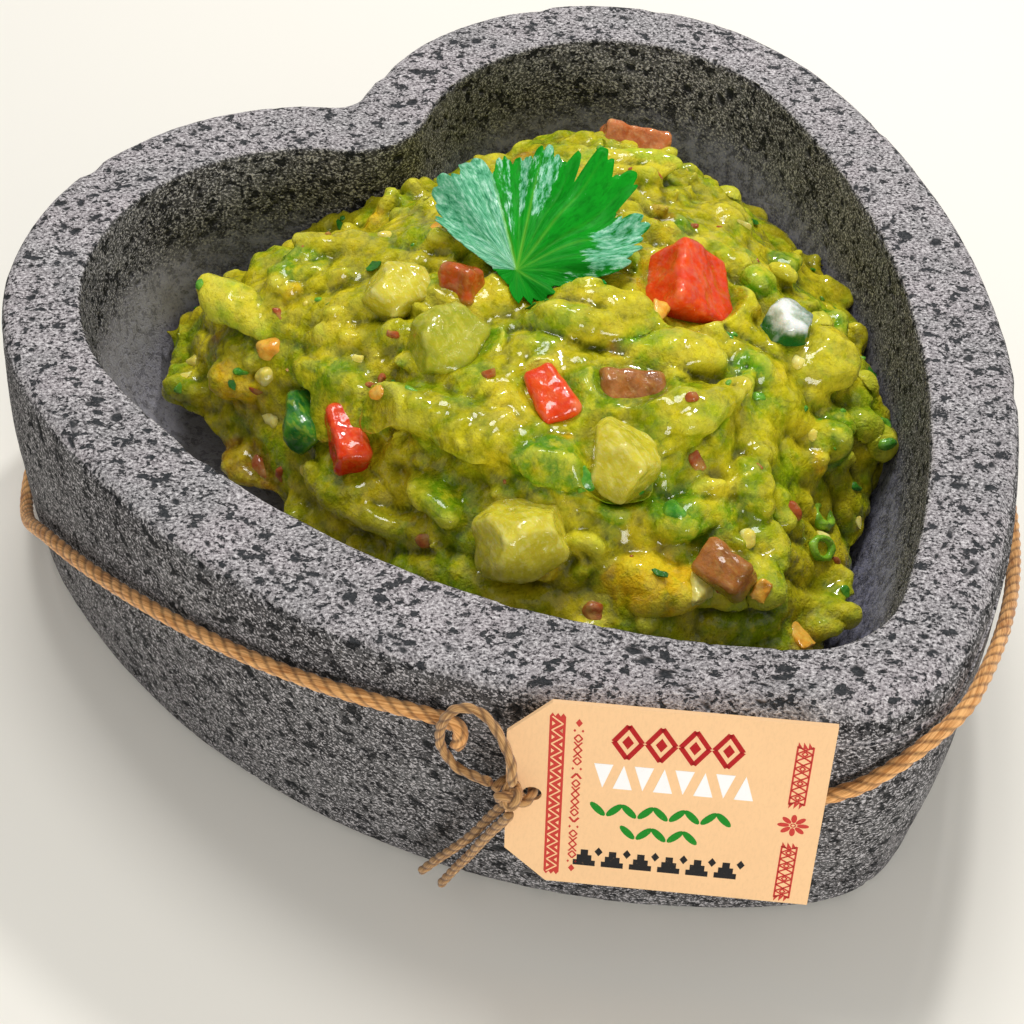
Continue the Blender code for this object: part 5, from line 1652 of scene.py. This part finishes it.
# --- Stage ----------------------------------------------------------------------------------------------
CAMERA_PLACE, CAMERA_SHIFT = (-0.1673, -0.2044, 0.3172), (0.0064, -0.0266)
CAMERA_RIGHT, CAMERA_UP = (0.8303, -0.5558, 0.0402), (0.394, 0.6365, 0.6631)
CAMERA_BACK = (-0.3941, -0.5348, 0.7475)


def add_object(name, data):
    item = bpy.data.objects.new(name, data)
    bpy.context.scene.collection.objects.link(item)
    return item


def add_light(name, place, target, size, power):
    """Disk of white light that faces a target."""
    data = bpy.data.lights.new(name, "AREA")
    data.shape = "DISK"
    data.size = size
    data.energy = power
    light = add_object(name, data)
    light.location = place
    light.rotation_euler = (Vector(target) - Vector(place)).to_track_quat("-Z", "Y").to_euler()
    return light


def make_stage(context):
    """Floor, light and camera."""
    stage = settings(context, "guac_stage")
    scene = context.scene
    scene.view_settings.view_transform = "Standard"
    camera_data = bpy.data.cameras.new("camera")
    camera_data.lens = stage.focal_length
    camera_data.shift_x, camera_data.shift_y = CAMERA_SHIFT
    camera = add_object("camera", camera_data)
    axes = (Vector(axis).normalized() for axis in (CAMERA_RIGHT, CAMERA_UP, CAMERA_BACK))
    camera.matrix_world = Matrix.Translation(CAMERA_PLACE) @ Matrix(tuple(axes)).transposed().to_4x4()
    scene.camera = camera
    bm = bmesh.new()
    bmesh.ops.create_grid(bm, x_segments=1, y_segments=1, size=3.0,
                          matrix=Matrix.Translation((0.0, 0.0, -0.2 * MM)))
    floor_mesh = mesh_of(bm, "floor", outward=False)
    floor_mesh.materials.append(shader_material("floor", Roughness=0.9, Specular_IOR_Level=0.1,
                                                Base_Color=tuple(stage.floor_colour))[0])
    floor = add_object("floor", floor_mesh)
    world = bpy.data.worlds.new("studio")
    world.use_nodes = True
    sky = Nodes(world.node_tree)
    sky.fill(world.node_tree.nodes["Background"].inputs, Color=(1.0, 1.0, 1.0), Strength=stage.sky_strength)
    scene.world = world
    lights = (add_light("top", (0.12, 0.38, 1.0), (0.0, 0.0, 0.0), 0.36, stage.top_power),
              add_light("key", (0.34, 0.24, 0.62), (0.0, 0.0, 0.05), 0.07, stage.key_power),
              add_light("fill", (-0.26, -0.86, 0.26), (0.0, 0.0, 0.03), 0.4, stage.fill_power))


# --- Operators and panel ------------------------------------------------------------------------------
def run(make, context):
    make(context)
    return {"FINISHED"}


class GUAC_OT_stage(bpy.types.Operator):
    """Set up the floor, the lights and the camera"""
    bl_idname = "guacamole.stage"
    bl_label = "Stage"

    def execute(self, context):
        return run(make_stage, context)


class GUAC_OT_tie(bpy.types.Operator):
    """Lay the tag's string: its knot, loop and tails"""
    bl_idname = "guacamole.tie"
    bl_label = "Tag string"

    def execute(self, context):
        return run(make_tie, context)


class GUAC_OT_twine(bpy.types.Operator):
    """Wind the twine round the bowl's wall"""
    bl_idname = "guacamole.twine"
    bl_label = "Twine"

    def execute(self, context):
        return run(make_twine, context)


class GUAC_OT_bowl(bpy.types.Operator):
    """Carve the porous stone bowl"""
    bl_idname = "guacamole.bowl"
    bl_label = "Bowl"

    def execute(self, context):
        return run(make_bowl, context)


class GUAC_OT_heap(bpy.types.Operator):
    """Fill the bowl with mashed avocado"""
    bl_idname = "guacamole.heap"
    bl_label = "Mash"

    def execute(self, context):
        return run(make_heap, context)


class GUAC_OT_cut_pieces(bpy.types.Operator):
    """Place the tomato dice, the avocado chunks, the onion and the chilli"""
    bl_idname = "guacamole.cut_pieces"
    bl_label = "Cut pieces"

    def execute(self, context):
        return run(make_cut_pieces, context)


class GUAC_OT_bits(bpy.types.Operator):
    """Scatter small bits of herb, chilli, tomato and yellow flesh over the mash"""
    bl_idname = "guacamole.bits"
    bl_label = "Small bits"

    def execute(self, context):
        return run(make_bits, context)


class GUAC_OT_leaf(bpy.types.Operator):
    """Lay the herb leaf on top"""
    bl_idname = "guacamole.leaf"
    bl_label = "Leaf"

    def execute(self, context):
        return run(make_leaf, context)


class GUAC_OT_tag(bpy.types.Operator):
    """Print the tag"""
    bl_idname = "guacamole.tag"
    bl_label = "Tag"

    def execute(self, context):
        return run(make_tag, context)


SETTINGS = (("guac_stage", StageSettings), ("guac_bowl", BowlSettings), ("guac_heap", HeapSettings),
            ("guac_toppings", ToppingSettings), ("guac_tie", TieSettings))
OPERATORS = (GUAC_OT_stage, GUAC_OT_tie, GUAC_OT_twine, GUAC_OT_bowl, GUAC_OT_heap, GUAC_OT_cut_pieces,
             GUAC_OT_bits, GUAC_OT_leaf, GUAC_OT_tag)


class GUAC_PT_pieces(bpy.types.Panel):
    bl_label = "Guacamole"
    bl_space_type = "VIEW_3D"
    bl_region_type = "UI"
    bl_category = "Guacamole"

    def draw(self, context):
        column = self.layout.column(align=True)
        for operator in OPERATORS:
            column.operator(operator.bl_idname)
        for name, group in SETTINGS:
            box = self.layout.box()
            box.label(text=group.__doc__)
            for key in group.__annotations__:
                box.prop(getattr(context.scene, name), key)


def register():
    for name, group in SETTINGS:
        bpy.utils.register_class(group)
        setattr(bpy.types.Scene, name, PointerProperty(type=group))
    for item in (*OPERATORS, GUAC_PT_pieces):
        bpy.utils.register_class(item)


def unregister():
    for item in (GUAC_PT_pieces, *reversed(OPERATORS)):
        bpy.utils.unregister_class(item)
    for name, group in reversed(SETTINGS):
        delattr(bpy.types.Scene, name)
        bpy.utils.unregister_class(group)


def main():
    register()
    for operator in OPERATORS:
        call = getattr(bpy.ops.guacamole, operator.bl_idname.split(".")[1])
        call()


if __name__ == "__main__":
    main()
